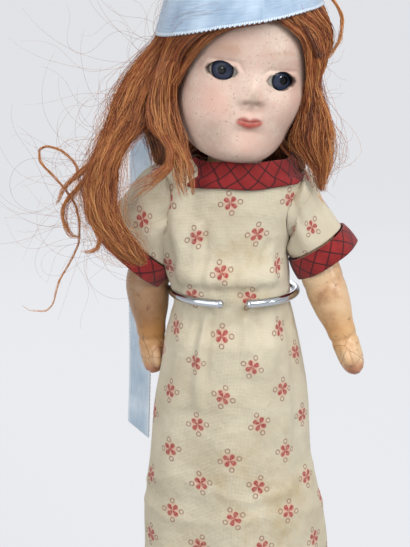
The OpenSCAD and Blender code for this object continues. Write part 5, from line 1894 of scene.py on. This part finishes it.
@dataclass
class Dress:
    """Flower-print dress with plaid neckband, drooping sleeves and plaid cuffs."""

    sole_z: float = 12.0
    waist_z: float = 227.0
    shoulder_z: float = 261.0
    neck_z: float = 277.0
    shoulder_y: float = 2.0
    hem_up: float = 88.0
    hem_w: float = 76.0
    hem_depth: float = 56.0
    waist_w: float = 46.0
    bodice_w: float = 53.0
    torso_depth: float = 30.0
    neck_ball_r: float = 11.0
    fold_depth: float = 1.2
    cloth_t: float = 0.8
    armhole_r: float = 12.5
    armhole_drop: float = 1.5
    dress_y: float = 1.0
    band_h: float = 8.5
    band_gap: float = 0.8
    trim_t: float = 1.0
    cuff_h: float = 8.5
    cuff_drop: float = 17.0
    cuff_half_y: float = 12.4
    cuff_gap: float = 0.4
    sleeve_from: float = 20.5
    # Left and right: pitch and half height of the cuffs, the sleeves' bow, their rise over the shoulder and swell
    cuff_pitches: tuple[float, float] = (57.0, 49.0)
    cuff_halves: tuple[float, float] = (11.8, 15.4)
    sleeve_bows: Table = ((-1.5, 0, 0.5), (1.2, 0, 2.6))
    sleeve_rises: tuple[float, float] = (4.2, 6.0)
    sleeve_swells: tuple[float, float] = (0.3, 1.3)
    # Creases that the cloth keeps: angle and height of the upper and lower end, half width and height of each
    creases: Table = (
        (243, 223, 242.5, 180, 1.6, 2.2), (248.2, 223, 247.4, 184, 0.8, -1.6), (236, 222, 233, 196, 1.2, -0.8),
        (238, 259, 231, 231, 1.7, 1.9), (243.5, 258, 238, 231, 1.2, -1.3), (303, 252, 297, 232, 1.6, -0.8),
        (309, 250, 304, 232, 1.6, 0.7), (256, 222, 257, 206, 0.8, 0.6), (264, 222, 265, 203, 0.8, -0.6),
        (280, 222, 279, 200, 1.0, 0.7), (291, 222, 292, 198, 1.2, -0.8), (302, 222, 303, 190, 1.8, 0.9),
        (222, 219, 220, 140, 3.6, 1.1), (300, 212, 298, 122, 4.5, 0.9), (331, 221, 329, 140, 2.4, -1.4),
        (262, 194, 264, 120, 4.0, 0.8), (283, 200, 285, 118, 3.6, -0.8), (233, 186, 231, 118, 3.0, -0.9))

    def levels(self) -> Array:
        """Rows of the dress, going up.

        Returns:
            Height, half width, half depth and sideways offset of each row.
        """
        hem, waist, hip = self.sole_z + self.hem_up, self.waist_z, self.waist_w / 2
        w, d, top, bodice = self.hem_w / 2, self.hem_depth / 2, self.torso_depth / 2, self.bodice_w / 2
        rows = [(mix(hem, waist, k), w - a, d - b, x)
                for k, a, b, x in ((0, 0, 0, 0.5), (0.14, 0.6, 0.4, 0.9), (0.28, 1.7, 1.2, -0.2))]
        rows += [(mix(hem, waist, k), mix(self.hem_w, self.waist_w, flare) / 2, depth, x) for k, flare, depth, x in
                 ((0.47, 0.38, d - 2, -1.5), (0.63, 0.47, d - 2.6, -1.2), (0.75, 0.60, d - 3, -0.6),
                  (0.85, 0.70, d - 3.2, -0.2), (0.92, 0.86, hip - 1.2, 0))]
        rows += [(waist + dz, hip + wide, hip - depth, 0)
                 for dz, wide, depth in ((-3, 0, 1.6), (3, 0, 2), (8, 0.3, 3), (15, 0.2, 4.4))]
        rows += [(self.shoulder_z + dz, bodice + wide, top + depth, x) for dz, wide, depth, x in
                 ((-8, -1.6, 3.6, 0), (0, 0, 3.4, 0), (6, 0.6, 3.2, 0.6), (11, 0.4, 3, 1.4), (13, -2.2, 2.8, 1.9))]
        rows += [(self.neck_z + dz, self.neck_ball_r + wide, top + depth, x)
                 for dz, wide, depth, x in ((-2, 10.2, 2.6, 2.2), (0.8, 8.8, 1.8, 2.6))]
        return np.array(rows)

    def fold(self, a: Array, z: Array) -> Array:
        """How far the cloth stands out in folds, gathers, creases and the blouse over the clip.

        Args:
            a: angles round the dress.
            z: heights.

        Returns:
            The distances.
        """
        below = self.waist_z - z
        facing = clamp01(np.abs(sind(a)) * 2 - 0.8)
        broad = self.fold_depth * ease((below - 6) / 40) * (0.6 * cosd(5 * a + 40) + 0.4 * cosd(8 * a - 0.35 * z))
        gathers = (0.5 * (bell(below, 14) - bell(below, 4)) * cosd(14 * a) * facing
                   + 0.35 * facing * (bell(below + 9, 4) + bell(below - 9, 5)) * cosd(23 * a + 2 * z))
        kept = sum(high * bell(0.42 * (a - mix(a0, a1, clamp01((z - z0) / (z1 - z0)))), wide)
                   * ease((z0 - z) / 5) * ease((z - z1) / 14) for a0, z0, a1, z1, wide, high in self.creases)
        blouse = 2.6 * facing * bell(below + 8.5, 4.0) * ease((-below - 3) / 4)
        slack = 0.45 * cosd(3 * a + 2.1 * z) * bell(below + 24, 12) * facing
        tuck = 1.5 * (bell(a - 197, 6) - bell(a - 209, 6) + bell(a - 221, 6) - bell(a - 233, 6))
        slack = slack + bell(below + 23, 15) * (6.6 * bell(a - 202, 24) + tuck)
        slack = slack - 1.8 * bell((a - 165) % 360 - 180, 28) * bell(below + 15, 8)
        slack = slack - 1.6 * bell((a - 170) % 360 - 180, 30) * bell(below - 17, 9)
        pressed = 0.3 * (bell(z - 150 - 3.4 * cosd(3 * a + 40) - cosd(11 * a), 1.4)
                         + bell(z - 138 + 1.5 * cosd(3 * a), 1.4) - bell(z - 144, 2.2))
        hem = 0.25 * bell(z - (self.sole_z + self.hem_up + 9), 0.7)
        return broad + gathers + kept + blouse + slack + pressed - hem

    def build_body(self) -> None:
        """Sews the body of the dress and cuts its armholes."""
        table, count, rows = self.levels(), 300, 170
        front, left = count * 3 // 4, count // 4
        a = np.arange(count) * 1.2
        z = np.linspace(table[0, 0], table[-1, 0], rows)
        half_w, half_d, shift = (level_curve(table[:, 0], table[:, k], z)[:, None] for k in (1, 2, 3))
        fold = self.fold(a[None, :], z[:, None])
        outer = xyz(shift + (half_w + fold) * cosd(a), self.dress_y + (half_d + fold) * sind(a),
                    z[:, None] + 4 * ease((-cosd(a) - 0.6) / 0.35) * bell(z - 273, 6)[:, None])
        step = np.linalg.norm(np.roll(outer, -1, axis=1) - outer, axis=-1)
        run = np.concatenate([np.zeros((rows, 1)), np.cumsum(step, axis=1)], axis=1)
        run = run - run[:, front:front + 1]
        run = np.where(np.arange(count + 1)[None, :] < left, run + run[:, -1:] - run[:, :1], run)
        column = np.interp(z, (138, 240, 262), (-1.1, -6.2, -2.2))[:, None] - shift
        cloth = cloth_shell(outer, self.cloth_t, run - column, (z - 189.6)[:, None])
        body = make_piece("dress_calico_body", cloth, CALICO)
        for side in Side:
            at = np.array([side.value * 14, self.shoulder_y, self.shoulder_z - self.armhole_drop])
            t = np.arange(64) * 5.625 * side.value
            reach = side.value * np.array([[0.0], [26.5]])
            cut_away(body, loft(at + xyz(reach, self.armhole_r * cosd(t), self.armhole_r * sind(t))))
        settle(body, Body.FIGURE, "calico", "dress")

    def build_neckband(self) -> None:
        """Sews the plaid band round the neck, lower in front."""
        table, rows = self.levels()[12:], 14
        table = np.vstack([table, [self.neck_z + 6, table[-1, 1] - 1.6, table[-1, 2] - 1.6, table[-1, 3]]])
        a = np.arange(240) * 1.5
        k = np.linspace(0, 1, rows)[:, None]
        front = ease(-sind(a))
        low = self.neck_z - 2.4 - 3.8 * front + 0.25 * cosd(7 * a + 20)
        tall = k * (self.band_h - 1.2 + 2.9 * front)[None, :]
        z = low[None, :] + tall
        half_w, half_d, shift = (np.interp(z, table[:, 0], table[:, c]) for c in (1, 2, 3))
        grow = self.band_gap + self.trim_t + 0.35 * np.sin(math.pi * k) + 0.25 * cosd(9 * a)[None, :] * (1 - k)
        outer = xyz(shift + (half_w + grow) * cosd(a), self.dress_y + (half_d + grow) * sind(a), z)
        around = run_along(np.vstack([outer[rows // 2], outer[rows // 2, :1]]))
        along = np.concatenate([tall, tall[:, :1]], axis=1)
        band = make_piece("dress_plaid_neckband", cloth_shell(outer, self.trim_t, around, along), PLAID)
        settle(band, Body.FIGURE, "plaid", "neckband")

    def cuff_axes(self, side: Side) -> tuple[Array, Array, Array]:
        """Place of a cuff, on the left side from the armhole.

        Args:
            side: which cuff.

        Returns:
            Its centre, its axis and its upward direction.
        """
        half, pitch = (side.own(pair) for pair in (self.cuff_halves, self.cuff_pitches))
        c, s = cosd(pitch), sind(pitch)
        out = self.waist_w / 2 + 1.4 + s * (half + self.cuff_gap + 1) + c * self.cuff_h / 2 - side.own((2.6, 0.0))
        return np.array([out, 0, -self.cuff_drop]), np.array([c, 0, -s]), np.array([s, 0, c])

    def place_sleeve(self, rings: Array, side: Side) -> Array:
        """Moves sleeve points from the left armhole to a side's own.

        Args:
            rings: points on the left, from the armhole's centre.
            side: which sleeve.

        Returns:
            The points in the part's frame, in an order that keeps their faces outwards.
        """
        return side.outwards(rings * side.mirror + [0, self.shoulder_y, self.shoulder_z - self.armhole_drop])

    def build_sleeve(self, side: Side) -> None:
        """Sews one sleeve, gathered at the armhole and drooping to its cuff.

        Args:
            side: which sleeve.
        """
        half = side.own(self.cuff_halves)
        centre, axis, _ = self.cuff_axes(side)
        n, rows = 132, 56
        t = np.linspace(0, 1, rows)[:, None]
        q = clamp01((t - 0.25) / 0.75)
        hub = np.array([self.bodice_w / 2 - 2, 0, 0])
        end = centre - axis * (self.cuff_h / 2 + 0.4)
        path = np.where(t < 0.25, mix(np.array([self.sleeve_from, 0, 0]), hub, 4 * t),
                        mix(hub, end, q) + np.array(side.own(self.sleeve_bows)) * np.sin(math.pi * q))
        pitch = mix(12.0 * ease(t * 4), side.own(self.cuff_pitches), q)
        a = ring_angles(n)
        gather = ease((t - 0.2) / 0.15) * (1 - ease((q - 0.75) / 0.25))
        ripple = gather * (0.5 * cosd(7 * a + 30) + 0.5 * cosd(13 * a + 100) * (1 - q))
        over = side.own(self.sleeve_rises) * ease((t - 0.12) / 0.13) * (1 - ease(q * 1.5)) * ease(cosd(a) * 1.3)
        pleats = 1.5 * np.sin(math.pi * q) * ease(-cosd(a - 30) * 1.5) * cosd(10 * a + 40 * q)
        swell = ripple * 0.7 + side.own(self.sleeve_swells) * np.sin(math.pi * q) + over + pleats * 0.6
        r = self.armhole_r - 0.4
        up, wide = mix(r, half, q) + swell, mix(r, self.cuff_half_y, q) + swell
        outer = ovals(path, xyz(sind(pitch), 0.0, cosd(pitch)), np.array([0, -1, 0]), (up, wide), a)
        around = side.outwards(np.linspace(0, 92, n + 1)[None, :] + 7)
        cloth = cloth_shell(self.place_sleeve(outer, side), self.cloth_t, around, t * 31 + 3)
        x, y, z = side.value, self.shoulder_y, self.shoulder_z
        turn = Turn(Body.FIGURE, Body(f"{side.word}_arm"), (x * 21.5, y, z), (x * 36, y, z))
        sleeve = make_piece(f"{side.word}_calico_sleeve", cloth, CALICO)
        settle(sleeve, turn, "calico", f"{side.word}_sleeve")

    def build_cuff(self, side: Side) -> None:
        """Sews one plaid cuff with a soft flare.

        Args:
            side: which cuff.
        """
        centre, axis, lift = self.cuff_axes(side)
        n = 180
        a = ring_angles(n)
        k = np.linspace(0, 1, 16)[:, None]
        grow = self.cuff_gap + self.trim_t + k * 0.8 + 0.35 * np.sin(math.pi * k) + 0.3 * k * cosd(6 * a + 40)
        half = side.own(self.cuff_halves) + grow, self.cuff_half_y + grow
        outer = ovals(centre + axis * self.cuff_h * (k - 0.5), lift, np.array([0, -1, 0]), half, a)
        cloth = cloth_shell(self.place_sleeve(outer, side), self.trim_t, np.linspace(0, 82, n + 1), k * self.cuff_h)
        cuff = make_piece(f"{side.word}_plaid_cuff", cloth, PLAID)
        settle(cuff, Body(f"{side.word}_arm"), "plaid", f"{side.word}_cuff")

    def build(self) -> None:
        """Sews the whole dress."""
        self.build_body()
        self.build_neckband()
        for side in Side:
            self.build_sleeve(side)
            self.build_cuff(side)


# Limbs


@dataclass
class Limbs:
    """Strung composition arms and legs."""

    shoulder: tuple[float, float, float] = (28.2, 2.0, 261.0)
    hip: tuple[float, float, float] = (14.2, 0.0, 186.0)
    ball_d: float = 16.6
    arm_d: float = 14.4
    wrist_d: float = 10.6
    upper_len: float = 33.0
    fore_len: float = 24.0
    hand_len: float = 15.0
    upper_splay: float = 18.81
    hip_ball_d: float = 23.0
    thigh_d: float = 22.5
    calf_d: float = 19.0
    ankle_d: float = 12.5
    foot_len: float = 38.0
    leg_len: float = 174.0
    # Left and right: splay and swing at rest, how much fuller, how far inward from where and over what length, and
    # painted shade
    fore_splays: tuple[float, float] = (20.0, -4.0)
    rest_swings: tuple[float, float] = (-7.0, 3.0)
    fuller: tuple[float, float] = (0.18, 0.26)
    inward: Table = ((2.8, 10, 16), (4.0, 12, 18))
    shaded: tuple[float, float] = (0.0, 0.68)
    # Stretch of the arm (0 ball, 1 upper arm, 2 forearm, 3 hand), share of it, half width and half thickness
    arm_levels: Table = (
        (0, -0.97, 0.22, 0.22), (0, -0.80, 0.60, 0.60), (0, -0.45, 0.89, 0.89), (0, -0.1, 0.995, 0.995),
        (1, 0.25, 1.03, 1.0), (1, 0.55, 1.0, 1.0), (1, 0.85, 0.98, 0.99), (2, 0.1, 0.97, 0.99), (2, 0.45, 0.90, 0.93),
        (2, 0.8, 0.74, 0.78), (3, 0, 1.0, 1.0), (3, 0.2, 0.98, 1.02), (3, 0.5, 0.94, 1.12), (3, 0.75, 0.80, 1.0),
        (3, 0.92, 0.52, 0.66), (3, 1.0, 0.16, 0.2))
    # Place across the hand and reach of each finger
    fingers: Table = ((-2.9, 12.6), (-0.95, 14.6), (0.95, 14.9), (2.8, 13.6))
    # Thumb: way along the hand, place across it, share of the wrist in front, width and thickness
    thumb: Table = (
        (2, -1, -0.28, 4.4, 4.0), (5.25, -1.6, -0.52, 4.2, 3.8), (9, -1.8, -0.6, 3.4, 3.2),
        (10.8, -1.8, -0.58, 1.4, 1.4))

    def arm_centre(self, s: Array, fore: float) -> Array:
        """Middle of the arm, bent softly at the elbow.

        Args:
            s: distance from the shoulder.
            fore: splay of the forearm.

        Returns:
            Points from the shoulder, for the left side.
        """
        upper = np.array([sind(self.upper_splay), 0, -cosd(self.upper_splay)])
        lower = np.array([sind(fore), 0, -cosd(fore)])
        s = np.asarray(s, float)[..., None]
        return np.minimum(s, self.upper_len) * upper + np.maximum(0, s - self.upper_len) * lower

    def hand(self, wrist: Array, tip: Array, cross: Array) -> list[Surface]:
        """Thumb and fingers of a left hand.

        Args:
            wrist: place of the wrist.
            tip: direction along the hand.
            cross: direction across it.

        Returns:
            A closed surface for each.
        """
        thumb = [(*(wrist + tip * way + [x, self.wrist_d * front, 0]), w, d) for way, x, front, w, d in self.thumb]
        lumps = [round_lock(thumb, (1, 0, 0), 16, 16)]
        for at, reach in self.fingers:
            finger = [wrist + tip * 7 + cross * at * 0.9 + [0, -3.4, 0],
                      wrist + tip * (reach - 3.5) + cross * at + [0, -3.7, 0],
                      wrist + tip * (reach - 0.6) + cross * at * 0.9 + [0, -2.4, 0]]
            lumps.append(round_lock([(*p, w, w) for p, w in zip(finger, (1.9, 2.2, 1.5))], (0, 1, 0), 12, 12))
        return lumps

    def build_arm(self, side: Side) -> None:
        """Moulds one arm with its hand, thumb and fingers.

        Args:
            side: which arm.
        """
        fore = side.own(self.fore_splays)
        base = (0.0, 0.0, self.upper_len, self.upper_len + self.fore_len)
        length = (self.ball_d / 2, self.upper_len, self.fore_len, self.hand_len)
        half = (self.ball_d / 2, self.arm_d / 2, self.arm_d / 2, self.wrist_d / 2)
        rows = np.array([(base[k] + share * length[k], half[k] * w, half[k] * t) for k, share, w, t in self.arm_levels])
        s = np.linspace(rows[-1, 0], rows[0, 0], 110)
        crease = 0.5 * bell(s - base[3] + 0.5, 0.8) + 0.3 * bell(s - self.upper_len, 1.0)
        full = 1 + side.own(self.fuller) * bell(s - 32, 16) - 0.14 * bell(s, 11)
        wide, deep = (level_curve(rows[:, 0], rows[:, c], s) * full - crease for c in (1, 2))
        far, start, over = side.own(self.inward)
        inward = np.array([far, 0, 0]) * ease((s - start) / over)[:, None]
        lean = mix(self.upper_splay, fore, ease((s - self.upper_len + 6) / 12))
        axis = xyz(cosd(lean), 0.0, sind(lean))[:, None]
        rings = ovals(self.arm_centre(s, fore) - inward, axis, np.array([0, 1, 0]), (wide[:, None], deep[:, None]),
                      ring_angles(56))
        wrist = self.arm_centre(np.array(base[3]), fore) - inward[np.argmin(np.abs(s - base[3]))]
        tip, cross = np.array([sind(fore), 0, -cosd(fore)]), np.array([cosd(fore), 0, sind(fore)])
        swing = math.radians(side.own(self.rest_swings))
        turn = np.array([[1, 0, 0], [0, math.cos(swing), -math.sin(swing)], [0, math.sin(swing), math.cos(swing)]])
        name = f"{side.word}_arm"
        arm = self.mould(name, [loft(rings), *self.hand(wrist, tip, cross)], turn, side, self.shoulder)
        local = ((points_of(arm) - np.array(self.shoulder) * side.mirror) @ turn) * side.mirror
        down = (local - wrist) @ tip
        # The darkening mark is painted shade over the right arm above the hand, for the shade of the hair and sleeve;
        # the left arm gets none
        set_marks(arm, {"tips": 0.6 * ease((down - 8) / 5), "cracked": ease((down + 5) / 4) * ease((14 - down) / 5),
                        "waxed": 0.5 * bell(down + 3, 5), "shaded": side.own(self.shaded) * ease((6 - down) / 10)})
        settle(arm, Body(name), "composition", name)

    def mould(self, name: str, lumps: list[Surface], turn: Array, side: Side, joint: Point) -> Piece:
        """Runs lumps together into one limb and hangs it on its joint.

        Args:
            name: name of the limb.
            lumps: closed surfaces from the joint, for the left side.
            turn: rotation at rest.
            side: which side.
            joint: the left joint's place.

        Returns:
            The limb.
        """
        points, faces, count = [], [], 0
        for lump in lumps:
            points.append((lump.points @ turn.T + np.array(joint)) * side.mirror)
            faces += [side.outwards(f) + count for f in lump.faces]
            count += len(lump.points)
        limb = make_piece(f"{name}_composition", Surface(np.concatenate(points), faces), COMPOSITION)
        moulded(limb, 0.42, 3)
        return limb

    def build_leg(self, side: Side) -> None:
        """Moulds one leg with its foot.

        Args:
            side: which leg.
        """
        f, c, t, long = self.foot_len, self.calf_d, self.thigh_d, self.leg_len
        ankle, hip = self.ankle_d / 2, self.hip_ball_d / 2
        foot = ((f * 0.72, 4, 90, 2.6, 2), (f * 0.69, 4.4, 90, 6.4, 4), (f * 0.55, 5.2, 90, 8.4, 6),
                (f * 0.36, 6.8, 90, 8.2, 7.8), (f * 0.15, 8.6, 72, 7.4, 9.8), (-3, 9, 42, 7, 10.5),
                (-1, 20, 12, ankle + 0.3, ankle + 1.2))
        shin = ((-1, 29, ankle, ankle), (-1, 44, c * 0.42, c * 0.42), (-1.5, 62, c / 2, c / 2),
                (-1, 80, c * 0.47, c * 0.48), (0.5, 92, c * 0.46, c * 0.5), (0, 108, t * 0.46, t * 0.46))
        thigh = ((-44, t / 2), (-22, t * 0.51), (-6, hip * 0.96), (0, hip), (hip * 0.4, hip * 0.916),
                 (hip * 0.75, hip * 0.66), (hip * 0.95, hip * 0.31), (hip * 0.995, hip * 0.1))
        p = smooth_path([*foot, *((y, z, 0, w, d) for y, z, w, d in shin),
                         *((0, long + z, 0, w, w) for z, w in thigh)], 150)
        tilt = xyz(0.0, cosd(p[:, 2]), -sind(p[:, 2]))[:, None]
        centre = xyz(0.0, -p[:, 0], p[:, 1] - long)
        rings = ovals(centre, np.array([1, 0, 0]), tilt, (p[:, 3, None], p[:, 4, None]), ring_angles(48))
        rings[..., 2] = np.maximum(rings[..., 2], -long)
        lumps = [loft(rings)]
        for k in range(5):
            x, back = -5.4 + 2.7 * k, abs(k - 1.5)
            toe = ((x, -f * 0.55, 3.6 - long, 2.6, 4), (x * 0.96, -f * 0.7 + back * 0.6, 2.9 - long, 2.6, 4),
                   (x * 0.93, -f * 0.74 + back * 0.7, 2.6 - long, 1.6, 2.4))
            lumps.append(round_lock(toe, (0, 0, 1), 12, 14))
        name = f"{side.word}_leg"
        leg = self.mould(name, lumps, np.eye(3), side, self.hip)
        height = points_of(leg)[:, 2]
        clean = 0 * height
        set_marks(leg, {"tips": clean, "waxed": clean, "shaded": clean,
                        "cracked": bell(height - 108, 6) + bell(height - 35, 5)})
        settle(leg, Body(name), "composition", name)

    def build(self) -> None:
        """Moulds the four limbs and dresses the body that they are strung to."""
        for side in Side:
            self.build_arm(side)
            self.build_leg(side)
        PULP_BOARD.dress_nodes("torso")
        ELASTIC.dress_nodes("arm_elastic", "leg_elastic", "neck_elastic")


# Stand and studio


@dataclass
class Stand:
    """Chromed display stand whose waist clip holds the doll."""

    nodes: tuple[str, ...] = ("stand_base", "post_tube", "clamp_collar", "clamp_screw", "stand_rod", "waist_clip")

    def build(self) -> None:
        """Plates the stand's pieces, which keep their shapes."""
        CHROME.dress_nodes(*self.nodes)


@dataclass(frozen=True)
class PaperSweep(Finish):
    """Pale paper floor, matt."""

    # Matt paper: even pale grey that keeps a soft shadow
    name: str = "paper_matt_pale"
    paper: str = "#6d6e70"
    seen: str = "#e8e9ec"
    glow: float = 0.78

    def draw(self, add: Adder) -> dict[str, Any]:
        """Adds the floor's own paleness for what the eye and mirrors see.

        Args:
            add: adds a node to the material.

        Returns:
            Values and links for the shader's inputs.
        """
        path = add("LightPath").outputs
        seen = add("Math", (path["Is Camera Ray"], path["Is Glossy Ray"]), operation="MAXIMUM")
        seen = add("Math", (seen, path["Is Transmission Ray"]), operation="MAXIMUM")
        return {"Base Color": linear(self.paper), "Roughness": 1.0, "Specular IOR Level": 0.0,
                "Emission Color": linear(self.seen),
                "Emission Strength": add("Math", (seen, self.glow), operation="MULTIPLY")}


@dataclass
class Studio:
    """Camera at the photograph's angle, soft lamps and a pale floor."""

    down: float = 13.0
    distance: float = 700.0
    target: tuple[float, float, float] = (-11.6, 0.0, 233.5)
    lens: float = 115.2
    lamp_target: tuple[float, float, float] = (0, 0, 240)
    floor_half: float = 9000.0
    sky: str = "#f3f5f8"
    sky_level: float = 0.95
    horizon_level: float = 0.5
    # Name, place, size and power of each lamp
    lamps: tuple[tuple[str, tuple[float, float, float], float, float], ...] = (
        ("key", (620, -820, 900), 700, 9.0), ("fill", (-700, -650, 450), 900, 3.6),
        ("back", (-200, 900, 800), 800, 3.0),
        ("left_spark", (740, -310, 400), 80, 0.9), ("right_spark", (-500, -690, 470), 80, 0.6))

    def build_camera(self) -> None:
        """Sets the camera."""
        data = bpy.data.cameras.new("camera")
        data.lens = self.lens
        data.sensor_width = 36.0
        data.clip_end = 100.0
        camera = bpy.data.objects.new("camera", data)
        x, y, z = self.target
        camera.location = Vector((x, y - self.distance * cosd(self.down), z + self.distance * sind(self.down))) * MM
        camera.rotation_euler = (math.radians(90 - self.down), 0, 0)
        bpy.context.scene.collection.objects.link(camera)
        bpy.context.scene.camera = camera

    def build_light(self) -> None:
        """Hangs the lamps and lights the room evenly."""
        for name, place, size, watts in self.lamps:
            data = bpy.data.lights.new(name, "AREA")
            data.size = size * MM
            data.energy = watts
            lamp = bpy.data.objects.new(name, data)
            lamp.location = Vector(place) * MM
            lamp.rotation_euler = (Vector(self.lamp_target) - Vector(place)).to_track_quat("-Z", "Y").to_euler()
            bpy.context.scene.collection.objects.link(lamp)
        world = bpy.data.worlds.new("room")
        world.use_nodes = True
        tree = world.node_tree
        up = add_node(tree, "SeparateXYZ", (add_node(tree, "TexCoord").outputs["Generated"],)).outputs[2]
        level = add_node(tree, "MapRange", (up, 0.0, 0.6, self.horizon_level, self.sky_level))
        plug(tree, tree.nodes["Background"], {"Color": linear(self.sky), "Strength": level})
        bpy.context.scene.world = world
        bpy.context.scene.view_settings.view_transform = "Standard"

    def build_floor(self) -> None:
        """Lays the floor."""
        corners = np.array([(-1, -1, 0), (1, -1, 0), (1, 1, 0), (-1, 1, 0)]) * self.floor_half
        make_piece("floor", Surface(corners, [np.arange(4)[None, :]]), PaperSweep())

    def build(self) -> None:
        """Sets up camera, light and floor."""
        self.build_camera()
        self.build_light()
        self.build_floor()


def main() -> None:
    """Builds the doll piece by piece."""
    logging.basicConfig(level=logging.INFO, format="%(name)s: %(message)s")
    Studio().build()
    head = Head()
    wig = Wig(head)
    for assembly in (Stand(), Limbs(), Dress(), head, wig, Ribbon(head, wig)):
        assembly.build()
        LOG.info("%s done", type(assembly).__name__)


if __name__ == "__main__":
    main()
